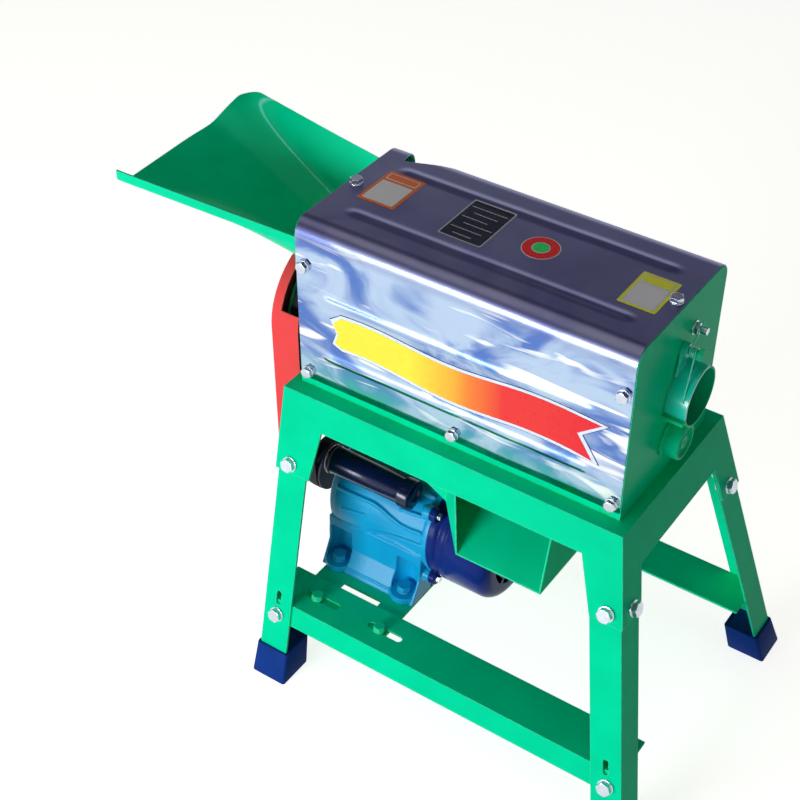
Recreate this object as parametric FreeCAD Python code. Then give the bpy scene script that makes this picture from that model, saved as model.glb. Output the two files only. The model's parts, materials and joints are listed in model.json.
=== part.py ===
import FreeCAD, Part

import math
import os

from FreeCAD import Rotation, Vector

# Corn sheller with an electric motor, in millimetres.
# X runs along the drum from the feed end (-X) to the cob outlet (+X), -Y is the front, +Z is up.
# The pieces are drawn about the middle of the hood with the floor at z = 0, and are moved at the end
# so that the origin is on the floor below the middle of the whole machine.

# Drum housing
hood_length = 420.0
hood_width = 203.0
hood_height = 212.0
hood_corner = 20.0
hood_sheet = 1.2
deck_rise = 10.0  # strip of the base pan seen between stand and hood
end_sheet = 3.0
end_flange = 20.0
end_proud = 1.0  # how far an end plate stands out of the hood
base_sheet = 2.0
base_upstand = 32.0
base_foot = 22.0
bolt_inset = 10.2
hood_bolt_low = 8.8
hood_bolt_high = 156.5

# Beads pressed into the hood
bead_width = 12.0
bead_rise = 2.6
bead_inset_long = 34.0
bead_top_offset = 52.0
bead_side_high = 122.0
bead_side_low = 42.0
notch_start = 16.0
notch_length = 58.0
notch_depth = 15.0
notch_slope = 9.0

# Stand
frame_height = 408.0
frame_over_left = 12.0
frame_over_right = 16.0
frame_width = 242.0
frame_sheet = 3.0
skirt_front = 39.0
skirt_side = 55.0
ear_depth = 108.0
ear_reach_left = 59.0
ear_foot_left = 48.0
ear_reach_right = 50.0
ear_foot_right = 40.0
splay_right = 0.222
splay_front = 0.229
window_inset = 22.0  # from each end of the hood
window_width = 162.0
leg_flange = 40.0
leg_sheet = 3.0
leg_gap = 0.5
boot_floor = 6.0
boot_height = 44.0
boot_side = 47.0
boot_flare = 4.0
leg_bolt_drop = 96.0
leg_bolt_in = 20.0
leg_bolt_in_side = 24.0
leg_slot_width = 7.0
leg_slot_low = 18.0  # both above the rail's bolt
leg_slot_high = 31.0

# Motor rails and plate
rail_top = 114.0
rail_flange = 60.0
rail_web = 30.0
rail_sheet = 3.0
rail_slot = 50.0
plate_left = -190.0
plate_right = -57.0
plate_sheet = 4.0
plate_length = 330.0
cutout_length = 58.0
cutout_width = 31.0

# Motor
motor_y = -14.0
motor_height = 90.0
motor_mid = -126.6
foot_spacing_x = 100.0
foot_spacing_y = 140.0
foot_thick = 10.0
motor_radius = 66.0
motor_left = -200.0
motor_right = -47.0
bell_length = 26.0
bell_bolt_circle = 75.0
bell_ear = 9.5
cowl_radius = 71.0
cowl_length = 72.0
cowl_sheet = 1.5
rotor_radius = 40.0
rotor_gap = 1.0
motor_shaft_radius = 9.5
capacitor_radius = 17.5
capacitor_length = 118.0
capacitor_angle = 37.0

# Drum and its drive
drum_z = 456.0
drum_y = 0.0
drum_core = 36.0
tooth_rise = 13.0
tooth_width = 9.0
tooth_length = 15.0
tooth_margin = 20.0
tooth_rows = 4
teeth_per_row = 12
tooth_twist = 150.0
drum_end_gap = 13.0
shaft_radius = 8.5
fit_gap = 0.03
bearing_radius = 17.5
bearing_width = 10.0
housing_radius = 21.0
housing_out = 21.0
housing_in = 11.0
pulley_radius = 70.0
small_pulley_radius = 35.0
pulley_width = 20.0
pulley_stand_off = 21.0  # middle of the pulley to the stand's end
groove_depth = 10.0
belt_width = 11.0
belt_thick = 8.0
belt_gap = 0.4
concave_gap = 7.0
concave_sheet = 4.0
shelf_sheet = 3.0
base_bolt_x = 130.0
base_bolt_y = 90.0

# Belt guard
guard_radius = 88.0
guard_reach = 41.0  # how far the guard stands out of the stand
guard_sheet = 1.5
guard_drop = 186.0
guard_lip = 13.0
guard_deep_top = 26.0

# Cob outlet and gate
outlet_y = 15.0
outlet_z = 511.0
outlet_radius = 35.0
outlet_sheet = 2.5
outlet_reach = 24.0
gate_gap = 1.5
gate_sheet = 2.5
gate_pin_y = 5.0
gate_pin_z = 572.0
gate_pin_radius = 4.0
anchor_y = 30.0
anchor_z = 584.0
anchor_radius = 4.0
spring_wire = 0.9
spring_pitch = 2.1
spring_turns = 3

# Feed hopper
hopper_sheet = 2.0
hopper_flange = 14.0
hopper_reach = 220.0
hopper_sill = 2.5  # how far its floor reaches into the housing
hopper_corner = 20.0
hopper_mouth = [
    (-128, 617.5), (-95, 618.7), (-56, 620), (0, 621), (27, 622), (48, 628), (66, 632.5), (80, 635), (96, 638),
]
hopper_throat = [
    (-90, 590), (-78, 565), (-50, 548), (-2, 546), (14, 552), (23, 558), (29, 563), (41, 584), (60, 629),
]
hopper_seat_top = 617.0
lip_height = 12.0
lip_reach = 12.0

# Kernel chute
chute_sheet = 2.0
chute_lip_y = -130.0
chute_lip_z = 280.0
chute_lip_left = 28.0
chute_lip_right = 137.0
chute_back_y = 98.0
chute_back_z = 393.0
chute_front_inset = 10.0
chute_flange = 12.0
chute_flange_front = 42.0
board_slope = 0.577

# Values that follow from the ones above
hood_z = frame_height + deck_rise
hood_half = hood_length / 2
hood_side = hood_width / 2
end_out = hood_half + end_proud
end_in = end_out - end_sheet
frame_left = -hood_half - frame_over_left
frame_right = hood_half + frame_over_right
window_length = hood_length - 2 * window_inset
pulley_mid = frame_left - pulley_stand_off
guard_outer_x = frame_left - guard_reach
hopper_mouth_x = -hood_half - hopper_reach
hopper_seat_x = -end_in + hopper_sill
frame_half = frame_width / 2
plate_z = rail_top - rail_sheet - plate_sheet
motor_z = rail_top - rail_sheet + motor_height
drum_length = 2 * (end_in - drum_end_gap)
pieces = {}


def add(name, *solids):
    shape = solids[0] if len(solids) == 1 else Part.makeCompound(list(solids))
    pieces[name] = shape


def fused(first, *others):
    return first.fuse(list(others)).removeSplitter()


def box(x0, x1, y0, y1, z0, z1):
    return Part.makeBox(x1 - x0, y1 - y0, z1 - z0, Vector(x0, y0, z0))


def prism(points, run):
    """Solid made by pushing a closed outline of points along a vector."""
    wire = Part.makePolygon([Vector(*p) for p in points] + [Vector(*points[0])])
    return Part.Face(wire).extrude(Vector(*run))


def side_prism(points, x0, x1):
    """Outline in (y, z) pushed from x0 to x1."""
    return prism([(x0, y, z) for y, z in points], (x1 - x0, 0, 0))


def front_prism(points, y0, y1):
    """Outline in (x, z) pushed from y0 to y1."""
    return prism([(x, y0, z) for x, z in points], (0, y1 - y0, 0))


def rod(x0, x1, y, z, radius):
    return Part.makeCylinder(radius, x1 - x0, Vector(x0, y, z), Vector(1, 0, 0))


def tube(x0, x1, y, z, outer, inner):
    return rod(x0, x1, y, z, outer).cut(rod(x0 - 1, x1 + 1, y, z, inner))


def turned(profile, y, z):
    """Revolve an outline of (x, radius) points about the X axis through (y, z)."""
    wire = Part.makePolygon([Vector(x, y + r, z) for x, r in profile + profile[:1]])
    return Part.Face(wire).revolve(Vector(0, y, z), Vector(1, 0, 0), 360)


def frustum(z_top, z_bottom, inset):
    """The stand's flared outline between two heights, shrunk by a sheet's thickness."""
    rings = []
    for z in (z_top, z_bottom):
        drop = frame_height - z
        x0 = frame_left + inset
        x1 = frame_right + splay_right * drop - inset
        y1 = frame_half + splay_front * drop - inset
        corners = [(x0, -y1), (x1, -y1), (x1, y1), (x0, y1), (x0, -y1)]
        rings.append(Part.makePolygon([Vector(x, y, z) for x, y in corners]))
    return Part.makeLoft(rings, True, True)


def hex_head(base, direction, across, height):
    reach = across / 2 / math.cos(math.pi / 6)
    points = []
    for k in range(6):
        angle = math.pi / 3 * k
        points.append(Vector(reach * math.cos(angle), reach * math.sin(angle), 0))
    head = Part.Face(Part.makePolygon(points + points[:1])).extrude(Vector(0, 0, height))
    turn = Rotation(Vector(0, 0, 1), direction)
    head.Placement = FreeCAD.Placement(base, turn)
    return head


def flange_bolt(seat, outward, size, grip):
    """Hexagon bolt with its washer: seat is the point on the clamped face under the washer."""
    out = Vector(outward).normalize()
    washer = Part.makeCylinder(size, size * 0.2, seat, out)
    head = hex_head(seat + out * (size * 0.2), out, size * 1.6, size * 0.62)
    shank = Part.makeCylinder(size / 2, grip + size * 0.9, seat - out * (grip + size * 0.9), out)
    return fused(washer, head, shank)


def nut(seat, outward, size):
    """Nut whose face touches seat and which stands along outward, bored for its bolt."""
    out = Vector(outward).normalize()
    body = hex_head(seat, out, size * 1.6, size * 0.75)
    return body.cut(Part.makeCylinder(size / 2 + fit_gap, size * 2, seat - out * size * 0.5, out))


def hole(point, along, size, reach):
    out = Vector(along).normalize()
    return Part.makeCylinder(size / 2 + 0.25, 2 * reach, point - out * reach, out)


def slot(low, high, along, size, reach):
    """Round-ended slot between two points, cut through along a direction."""
    out = Vector(along).normalize()
    half = out.cross(high - low).normalize() * (size / 2)
    back = out * reach
    corners = [low - half - back, low + half - back, high + half - back, high - half - back]
    middle = Part.Face(Part.makePolygon(corners + corners[:1])).extrude(back * 2)
    ends = [Part.makeCylinder(size / 2, 2 * reach, point - back, out) for point in (low, high)]
    return fused(middle, *ends)


def build_stand():
    outer = frustum(frame_height, frame_height - ear_depth, 0)
    inner = frustum(frame_height - frame_sheet, frame_height - ear_depth - 1, frame_sheet)
    shell = outer.cut(inner)
    low = frame_height - ear_depth - 5
    front_window = [
        (frame_left + ear_reach_left, frame_height - skirt_front),
        (frame_right + splay_right * skirt_front - ear_reach_right, frame_height - skirt_front),
        (frame_right + splay_right * ear_depth - ear_foot_right, low),
        (frame_left + ear_foot_left, low),
    ]
    wide = frame_width
    shell = shell.cut(front_prism(front_window, -wide, wide))
    ear_side = leg_flange + frame_sheet
    top_y = frame_half + splay_front * skirt_side - ear_side
    low_y = frame_half + splay_front * (frame_height - low) - ear_side
    top_z = frame_height - skirt_side
    side_window = [(-top_y, top_z), (top_y, top_z), (low_y, low), (-low_y, low)]
    shell = shell.cut(side_prism(side_window, frame_left - 50, frame_right + 100))
    shell = shell.cut(
        box(-window_length / 2, window_length / 2, -window_width / 2, window_width / 2,
            frame_height - 20, frame_height + 1)
    )

    bolts = []
    nuts = []
    holes = []
    for end in (-1, 1):
        for side in (-1, 1):
            lean_x = splay_right if end > 0 else 0.0
            lean = Vector(lean_x, side * splay_front, -1)
            start_z = frame_height - frame_sheet - leg_gap
            drop = frame_height - start_z
            edge_x = frame_left if end < 0 else frame_right
            corner = Vector(
                edge_x - end * frame_sheet + lean_x * drop,
                side * (frame_half - frame_sheet + splay_front * drop),
                start_z,
            )
            profile = [
                (0, 0),
                (-end * leg_flange, 0),
                (-end * leg_flange, -side * leg_sheet),
                (-end * leg_sheet, -side * leg_sheet),
                (-end * leg_sheet, -side * leg_flange),
                (0, -side * leg_flange),
            ]
            points = [(corner.x + x, corner.y + y, corner.z) for x, y in profile]
            length = start_z - boot_floor
            run = lean * length
            leg = prism(points, run)

            face_y = Vector(0, side, splay_front)
            face_x = Vector(end, 0, lean_x)
            bolt_z = frame_height - leg_bolt_drop
            outer_x = edge_x + lean_x * leg_bolt_drop
            outer_y = side * (frame_half + splay_front * leg_bolt_drop)
            seats = [
                (Vector(outer_x - end * leg_bolt_in, outer_y, bolt_z), face_y),
                (Vector(outer_x, outer_y - side * leg_bolt_in_side, bolt_z), face_x),
            ]
            grip = frame_sheet + leg_sheet
            for seat, normal in seats:
                out = Vector(normal).normalize()
                bolts.append(flange_bolt(seat, out, 10.0, grip))
                nuts.append(nut(seat - out * (grip + 0.2), out * -1, 10.0))
                drill = hole(seat, out, 10.0, 14)
                holes.append(drill)
                leg = leg.cut(drill)
            rail_seat = rail_bolt_seat(end, side)
            leg = leg.cut(hole(rail_seat, face_y, 10.0, 12))
            slot_ends = (rail_seat - lean * leg_slot_low, rail_seat - lean * leg_slot_high)
            leg = leg.cut(slot(*slot_ends, face_y, leg_slot_width, 12))
            name = ("front" if side < 0 else "back") + ("_left" if end < 0 else "_right")
            add("leg_" + name, leg)

            foot = corner + lean * start_z
            shin = corner + lean * (start_z - boot_height)
            wall = (boot_side - leg_flange) / 2
            rings = []
            for point, grow in ((shin, 0.0), (foot, boot_flare)):
                x0 = point.x + end * (wall + grow / 2)
                y0 = point.y + side * (wall + grow / 2)
                x1 = x0 - end * (boot_side + grow)
                y1 = y0 - side * (boot_side + grow)
                z = point.z
                cut = 12.0
                ring = [
                    (x0, y0), (x1, y0), (x1, y1 + side * cut), (x1 + end * cut, y1), (x0, y1), (x0, y0),
                ]
                rings.append(Part.makePolygon([Vector(x, y, z) for x, y in ring]))
            boot = Part.makeLoft(rings, True, True).cut(leg)
            add("boot_" + name, boot)
    shell = shell.cut(Part.makeCompound(holes))
    add("top_frame", shell)
    add("leg_bolts", *bolts)
    add("leg_nuts", *nuts)


def rail_bolt_seat(end, side):
    """Where a motor rail is bolted to a leg: the point on the leg's outer face."""
    z = rail_top - rail_web / 2 - 4
    drop = frame_height - z
    lean_x = splay_right if end > 0 else 0.0
    edge_x = frame_left if end < 0 else frame_right
    x = edge_x + lean_x * drop - end * (frame_sheet + leg_flange / 2)
    y = side * (frame_half - frame_sheet + splay_front * drop)
    return Vector(x, y, z)


def build_rails():
    drop = frame_height - rail_top
    web_y = frame_half - frame_sheet - leg_sheet + splay_front * drop
    low_y = web_y + splay_front * rail_web
    left = frame_left + frame_sheet + leg_sheet
    right = frame_right + splay_right * drop - frame_sheet - leg_sheet
    plate_slots = (plate_left + 36.0, plate_right - 2.0)
    rail_bolts = []
    rail_nuts = []
    plate_bolts = []
    plate_nuts = []
    plate_drills = []
    for side, name in ((-1, "rail_front"), (1, "rail_back")):
        outline = [
            (web_y, rail_top),
            (low_y, rail_top - rail_web),
            (low_y - rail_sheet, rail_top - rail_web),
            (web_y - rail_sheet + splay_front * rail_sheet, rail_top - rail_sheet),
            (web_y - rail_flange, rail_top - rail_sheet),
            (web_y - rail_flange, rail_top),
        ]
        rail = side_prism([(side * y, z) for y, z in outline], left, right)
        face = Vector(0, side, splay_front)
        for end in (-1, 1):
            seat = rail_bolt_seat(end, side)
            rail = rail.cut(hole(seat, face, 10.0, 16))
            out = Vector(face).normalize()
            grip = leg_sheet + rail_sheet
            rail_bolts.append(flange_bolt(seat, out, 10.0, grip))
            rail_nuts.append(nut(seat - out * (grip + 0.2), out * -1, 10.0))
        slot_y = side * (web_y - rail_flange / 2)
        for x in plate_slots:
            half = rail_slot / 2 - 5
            slot = box(x - half, x + half, slot_y - 5, slot_y + 5, rail_top - 10, rail_top + 1)
            for tip in (x - half, x + half):
                slot = slot.fuse(
                    Part.makeCylinder(5, 12, Vector(tip, slot_y, rail_top - 10), Vector(0, 0, 1))
                )
            rail = rail.cut(slot)
            at = Vector(x - 8, slot_y, rail_top)
            plate_bolts.append(flange_bolt(at, Vector(0, 0, 1), 8.0, rail_sheet + plate_sheet))
            plate_nuts.append(nut(Vector(at.x, at.y, plate_z), Vector(0, 0, -1), 8.0))
            plate_drills.append(hole(at, Vector(0, 0, 1), 8.0, 12))
        add(name, rail)

    plate = box(plate_left, plate_right, -plate_length / 2, plate_length / 2,
                plate_z, plate_z + plate_sheet)
    for side in (-1, 1):
        near = side * (foot_spacing_y / 2 + 26)
        far = near + side * cutout_width
        y0 = min(near, far) + (motor_y if side < 0 else motor_y * 0.4)
        plate = plate.cut(
            box(motor_mid - 25, motor_mid - 25 + cutout_length, y0, y0 + cutout_width,
                plate_z - 1, plate_z + plate_sheet + 1)
        )
    foot_bolts = []
    for sx in (-1, 1):
        for sy in (-1, 1):
            at = Vector(motor_mid + sx * foot_spacing_x / 2, motor_y + sy * foot_spacing_y / 2,
                        plate_z + plate_sheet + foot_thick)
            grip = foot_thick + plate_sheet
            foot_bolts.append(flange_bolt(at, Vector(0, 0, 1), 10.0, grip))
            foot_bolts.append(nut(Vector(at.x, at.y, plate_z), Vector(0, 0, -1), 10.0))
            plate_drills.append(hole(at, Vector(0, 0, 1), 10.0, 20))
    plate = plate.cut(Part.makeCompound(plate_drills))
    add("motor_plate", plate)
    add("rail_bolts", *rail_bolts)
    add("rail_nuts", *rail_nuts)
    add("plate_bolts", *plate_bolts)
    add("plate_nuts", *plate_nuts)
    add("motor_foot_bolts", *foot_bolts)


def hood_outline(inset, foot_z):
    """Closed (y, z) wire of the arched housing section at x = 0, shrunk by inset."""
    half = hood_side - inset
    top = hood_z + hood_height - inset
    radius = hood_corner - inset
    bend = radius * math.sqrt(0.5)
    left_mid = Vector(0, -half + radius - bend, top - radius + bend)
    right_mid = Vector(0, half - radius + bend, top - radius + bend)
    return Part.Wire([
        Part.LineSegment(Vector(0, -half, foot_z), Vector(0, -half, top - radius)).toShape(),
        Part.Arc(Vector(0, -half, top - radius), left_mid, Vector(0, -half + radius, top)).toShape(),
        Part.LineSegment(Vector(0, -half + radius, top), Vector(0, half - radius, top)).toShape(),
        Part.Arc(Vector(0, half - radius, top), right_mid, Vector(0, half, top - radius)).toShape(),
        Part.LineSegment(Vector(0, half, top - radius), Vector(0, half, foot_z)).toShape(),
        Part.LineSegment(Vector(0, half, foot_z), Vector(0, -half, foot_z)).toShape(),
    ])


def housing_block(x0, x1, inset, foot_z):
    block = Part.Face(hood_outline(inset, foot_z)).extrude(Vector(x1 - x0, 0, 0))
    block.translate(Vector(x0, 0, 0))
    return block


def bead(length, centre, normal):
    """Long pressed bead with round ends, lying along X on a face of the hood."""
    half = length / 2 - bead_width / 2
    sink = hood_sheet / 2
    bar = Part.makeBox(2 * half, bead_width, bead_rise + sink, Vector(-half, -bead_width / 2, -sink))
    for tip in (-half, half):
        bar = bar.fuse(Part.makeCylinder(bead_width / 2, bead_rise + sink, Vector(tip, 0, -sink)))
    bar = bar.removeSplitter()
    rim = [e for e in bar.Edges if e.BoundBox.ZMin > bead_rise - 0.01]
    bar = bar.makeFillet(bead_rise * 0.9, rim)
    turn = Rotation(Vector(0, 0, 1), Vector(*normal))
    bar.Placement = FreeCAD.Placement(Vector(*centre), turn)
    return bar


def hood_bolt_seats():
    top = hood_z + hood_height
    ends = (-hood_half + bolt_inset, hood_half - bolt_inset)
    seats = []
    for side in (-1, 1):
        face = Vector(0, side, 0)
        for x in ends:
            for rise in (hood_bolt_low, hood_bolt_high):
                seats.append((Vector(x, side * hood_side, hood_z + rise), face))
        seats.append((Vector(0, side * hood_side, hood_z + hood_bolt_low), face))
    for x in ends:
        seats.append((Vector(x, 0, top), Vector(0, 0, 1)))
    return seats


def build_housing():
    top = hood_z + hood_height
    hood = housing_block(-hood_half, hood_half, 0, hood_z)
    hood = hood.cut(housing_block(-hood_half - 1, hood_half + 1, hood_sheet, hood_z - 60))
    bead_length = hood_length - 2 * bead_inset_long
    beads = []
    for side in (-1, 1):
        beads.append(bead(bead_length, (0, side * bead_top_offset, top), (0, 0, 1)))
        for rise in (bead_side_high, bead_side_low):
            beads.append(bead(bead_length, (0, side * hood_side, hood_z + rise), (0, side, 0)))
    hood = fused(hood, *beads)
    notch_x = -hood_half + notch_start
    relief = prism(
        [
            (notch_x, hood_side + 5, top - notch_depth),
            (notch_x + notch_slope, hood_side - notch_depth, top - notch_depth),
            (notch_x + notch_length - notch_slope, hood_side - notch_depth, top - notch_depth),
            (notch_x + notch_length, hood_side + 5, top - notch_depth),
        ],
        (0, 0, notch_depth + 5),
    )
    hood = hood.cut(relief)
    bolts = []
    drills = []
    for seat, face in hood_bolt_seats():
        bolts.append(flange_bolt(seat, face, 8.0, hood_sheet + end_sheet))
        drills.append(hole(seat, face, 8.0, 12))
    drills = Part.makeCompound(drills)
    hood = hood.cut(drills)
    add("hood_cover", hood)
    add("hood_bolts", *bolts)

    inset = hood_sheet
    cross = frame_height
    for end, name in ((-1, "end_plate_left"), (1, "end_plate_right")):
        rim_in = end_in - end_flange
        pan = housing_block(min(end * rim_in, end * end_out), max(end * rim_in, end * end_out),
                            inset, cross)
        hollow = housing_block(min(end * (rim_in - 1), end * end_in),
                               max(end * (rim_in - 1), end * end_in), inset + end_sheet, cross - 1)
        plate = pan.cut(hollow).cut(drills)
        plate = plate.cut(rod(-300, 300, drum_y, drum_z, housing_radius))
        if end < 0:
            plate = plate.cut(hopper_window())
        else:
            plate = plate.cut(rod(0, 300, outlet_y, outlet_z, outlet_radius + 0.2))
        add(name, plate)

    wall = hood_side - inset
    run = end_in - end_flange - 0.3
    base = box(-run, run, -wall, wall, frame_height, frame_height + base_sheet)
    base = base.cut(
        box(-run - 1, run + 1, -wall + base_foot, wall - base_foot,
            frame_height - 1, frame_height + base_sheet + 1)
    )
    for side in (-1, 1):
        y0, y1 = sorted((side * wall, side * (wall - end_sheet)))
        base = base.fuse(box(-run, run, y0, y1, frame_height, frame_height + base_upstand))
    base = base.removeSplitter().cut(drills)
    add("housing_base", base)


def arc_band(x0, x1, y, z, inner, outer, start, end):
    """Curved sheet about an X axis; angles in degrees from +Y towards +Z."""
    ring = tube(x0, x1, y, z, outer, inner)
    reach = outer * 3
    wedge_points = [(y, z)]
    steps = max(2, int(math.ceil((end - start) / 60.0)))
    for k in range(steps + 1):
        angle = math.radians(start + (end - start) * k / steps)
        wedge_points.append((y + reach * math.cos(angle), z + reach * math.sin(angle)))
    return ring.common(side_prism(wedge_points, x0 - 1, x1 + 1))


def build_drum():
    half = drum_length / 2
    bore = shaft_radius
    core = tube(-half, half, drum_y, drum_z, drum_core, drum_core - 4)
    disc = tube(-half, -half + 4, drum_y, drum_z, drum_core, bore)
    disc2 = tube(half - 4, half, drum_y, drum_z, drum_core, bore)
    drum = core.fuse([disc, disc2]).removeSplitter()
    teeth = []
    pitch = (drum_length - 2 * tooth_margin) / (teeth_per_row - 1)
    for row in range(tooth_rows):
        for k in range(teeth_per_row):
            x = -half + tooth_margin + pitch * k
            angle = 360.0 / tooth_rows * row + tooth_twist * k / (teeth_per_row - 1)
            foot = drum_core - 1.5
            tip = drum_core + tooth_rise
            lean = tooth_width * 0.3
            outline = [
                Vector(x - tooth_length / 2, -tooth_width / 2, foot),
                Vector(x - tooth_length / 2 + 3, -tooth_width / 2 + lean, tip),
                Vector(x + tooth_length / 2 - 3, -tooth_width / 2 + lean, tip),
                Vector(x + tooth_length / 2, -tooth_width / 2, foot),
            ]
            tooth = Part.Face(Part.makePolygon(outline + outline[:1])).extrude(Vector(0, tooth_width, 0))
            tooth.rotate(Vector(x, 0, 0), Vector(0, 0, 1), 20)
            tooth.rotate(Vector(0, 0, 0), Vector(1, 0, 0), angle)
            tooth.translate(Vector(0, drum_y, drum_z))
            teeth.append(tooth)
    drum = drum.fuse(teeth)
    add("threshing_drum", drum)

    left = pulley_mid - pulley_width / 2 - 3
    right = end_out + housing_out - 5
    shaft = rod(left, right, drum_y, drum_z, shaft_radius - fit_gap)
    key = box(pulley_mid - 8, pulley_mid + 8, drum_y - 2.5, drum_y + 2.5,
              drum_z + shaft_radius - 3, drum_z + shaft_radius + 2)
    add("drum_shaft", shaft.cut(key))
    add("pulley_key", key)

    wheel = grooved_wheel(pulley_radius, drum_y, drum_z, shaft_radius, 15.0)
    for k in range(5):
        angle = 2 * math.pi / 5 * k
        wheel = wheel.cut(
            rod(pulley_mid - 20, pulley_mid + 20, drum_y + 36 * math.cos(angle),
                drum_z + 36 * math.sin(angle), 12.5)
        )
    add("drum_pulley", wheel.cut(key))


def grooved_wheel(radius, y, z, bore, hub):
    """V-belt pulley: rim with a groove, a thin web and a hub."""
    w = pulley_width / 2
    m = pulley_mid
    floor = radius - groove_depth
    mouth = belt_width / 2 + belt_gap + 1.2
    neck = belt_width / 2 + belt_gap - 1.6
    rim_in = max(floor - 5, hub)
    web = 3.0
    profile = [
        (m - w, rim_in), (m - w, radius), (m - mouth, radius), (m - neck, floor),
        (m + neck, floor), (m + mouth, radius), (m + w, radius), (m + w, rim_in),
    ]
    if rim_in > hub:
        profile += [(m + web, rim_in), (m + web, hub), (m + w, hub), (m + w, bore), (m - w, bore),
                    (m - w, hub), (m - web, hub), (m - web, rim_in)]
    else:
        profile += [(m + w, bore), (m - w, bore)]
    return turned(profile, y, z)


def belt_loop(shrink):
    """Closed face in the belt's plane, its outside lowered by shrink."""
    big = pulley_radius - shrink
    small = small_pulley_radius - shrink
    dy = motor_y - drum_y
    dz = motor_z - drum_z
    span = math.hypot(dy, dz)
    ux, uz = dy / span, dz / span
    tilt = math.asin((big - small) / span)
    points = []
    for side in (-1, 1):
        nx = -uz * side * math.cos(tilt) + ux * math.sin(tilt)
        nz = ux * side * math.cos(tilt) + uz * math.sin(tilt)
        points.append((nx, nz))
    (ax, az), (bx, bz) = points
    x = pulley_mid
    a1 = Vector(x, drum_y + big * ax, drum_z + big * az)
    a2 = Vector(x, motor_y + small * ax, motor_z + small * az)
    b1 = Vector(x, drum_y + big * bx, drum_z + big * bz)
    b2 = Vector(x, motor_y + small * bx, motor_z + small * bz)
    top_mid = Vector(x, drum_y - ux * big, drum_z - uz * big)
    low_mid = Vector(x, motor_y + ux * small, motor_z + uz * small)
    wire = Part.Wire([
        Part.LineSegment(a1, a2).toShape(),
        Part.Arc(a2, low_mid, b2).toShape(),
        Part.LineSegment(b2, b1).toShape(),
        Part.Arc(b1, top_mid, a1).toShape(),
    ])
    return Part.Face(wire)


def build_belt():
    rise = 0.6
    outer = belt_loop(-rise)
    inner = belt_loop(belt_thick - rise)
    band = outer.extrude(Vector(belt_width, 0, 0)).cut(inner.extrude(Vector(belt_width, 0, 0)))
    band.translate(Vector(-belt_width / 2, 0, 0))
    edges = []
    for edge in band.Edges:
        bounds = edge.BoundBox
        if bounds.XLength > 0.01:
            continue
        mid = edge.valueAt((edge.FirstParameter + edge.LastParameter) / 2)
        probe = Vector(pulley_mid, mid.y, mid.z)
        gap = outer.OuterWire.distToShape(Part.Vertex(probe))[0]
        if gap > belt_thick * 0.7:
            edges.append(edge)
    band = band.makeChamfer(2.2, edges)
    add("drive_belt", band)


def build_bearings():
    for end, name in ((-1, "left"), (1, "right")):
        x0, x1 = sorted((end * (end_in - housing_in), end * (end_out + housing_out)))
        bush = tube(x0, x1, drum_y, drum_z, housing_radius, shaft_radius + 4)
        mid = end * (end_out + housing_out - 5 - bearing_width / 2 - 1)
        seat = rod(mid - bearing_width / 2, mid + bearing_width / 2, drum_y, drum_z, bearing_radius)
        mouth0, mouth1 = sorted((mid, end * (end_out + housing_out + 1)))
        mouth = rod(mouth0, mouth1, drum_y, drum_z, bearing_radius)
        add("bearing_housing_" + name, bush.cut(seat).cut(mouth))
        race = tube(mid - bearing_width / 2, mid + bearing_width / 2, drum_y, drum_z,
                    bearing_radius, bearing_radius - 3)
        inner = tube(mid - bearing_width / 2, mid + bearing_width / 2, drum_y, drum_z,
                     shaft_radius + 3, shaft_radius)
        ball = (bearing_radius - shaft_radius - 6) / 2
        reach = shaft_radius + 3 + ball
        balls = []
        for k in range(8):
            angle = math.pi / 4 * k
            centre = Vector(mid, drum_y + reach * math.cos(angle), drum_z + reach * math.sin(angle))
            balls.append(Part.makeSphere(ball, centre))
        add("ball_bearing_" + name, race, inner, *balls)


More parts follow.
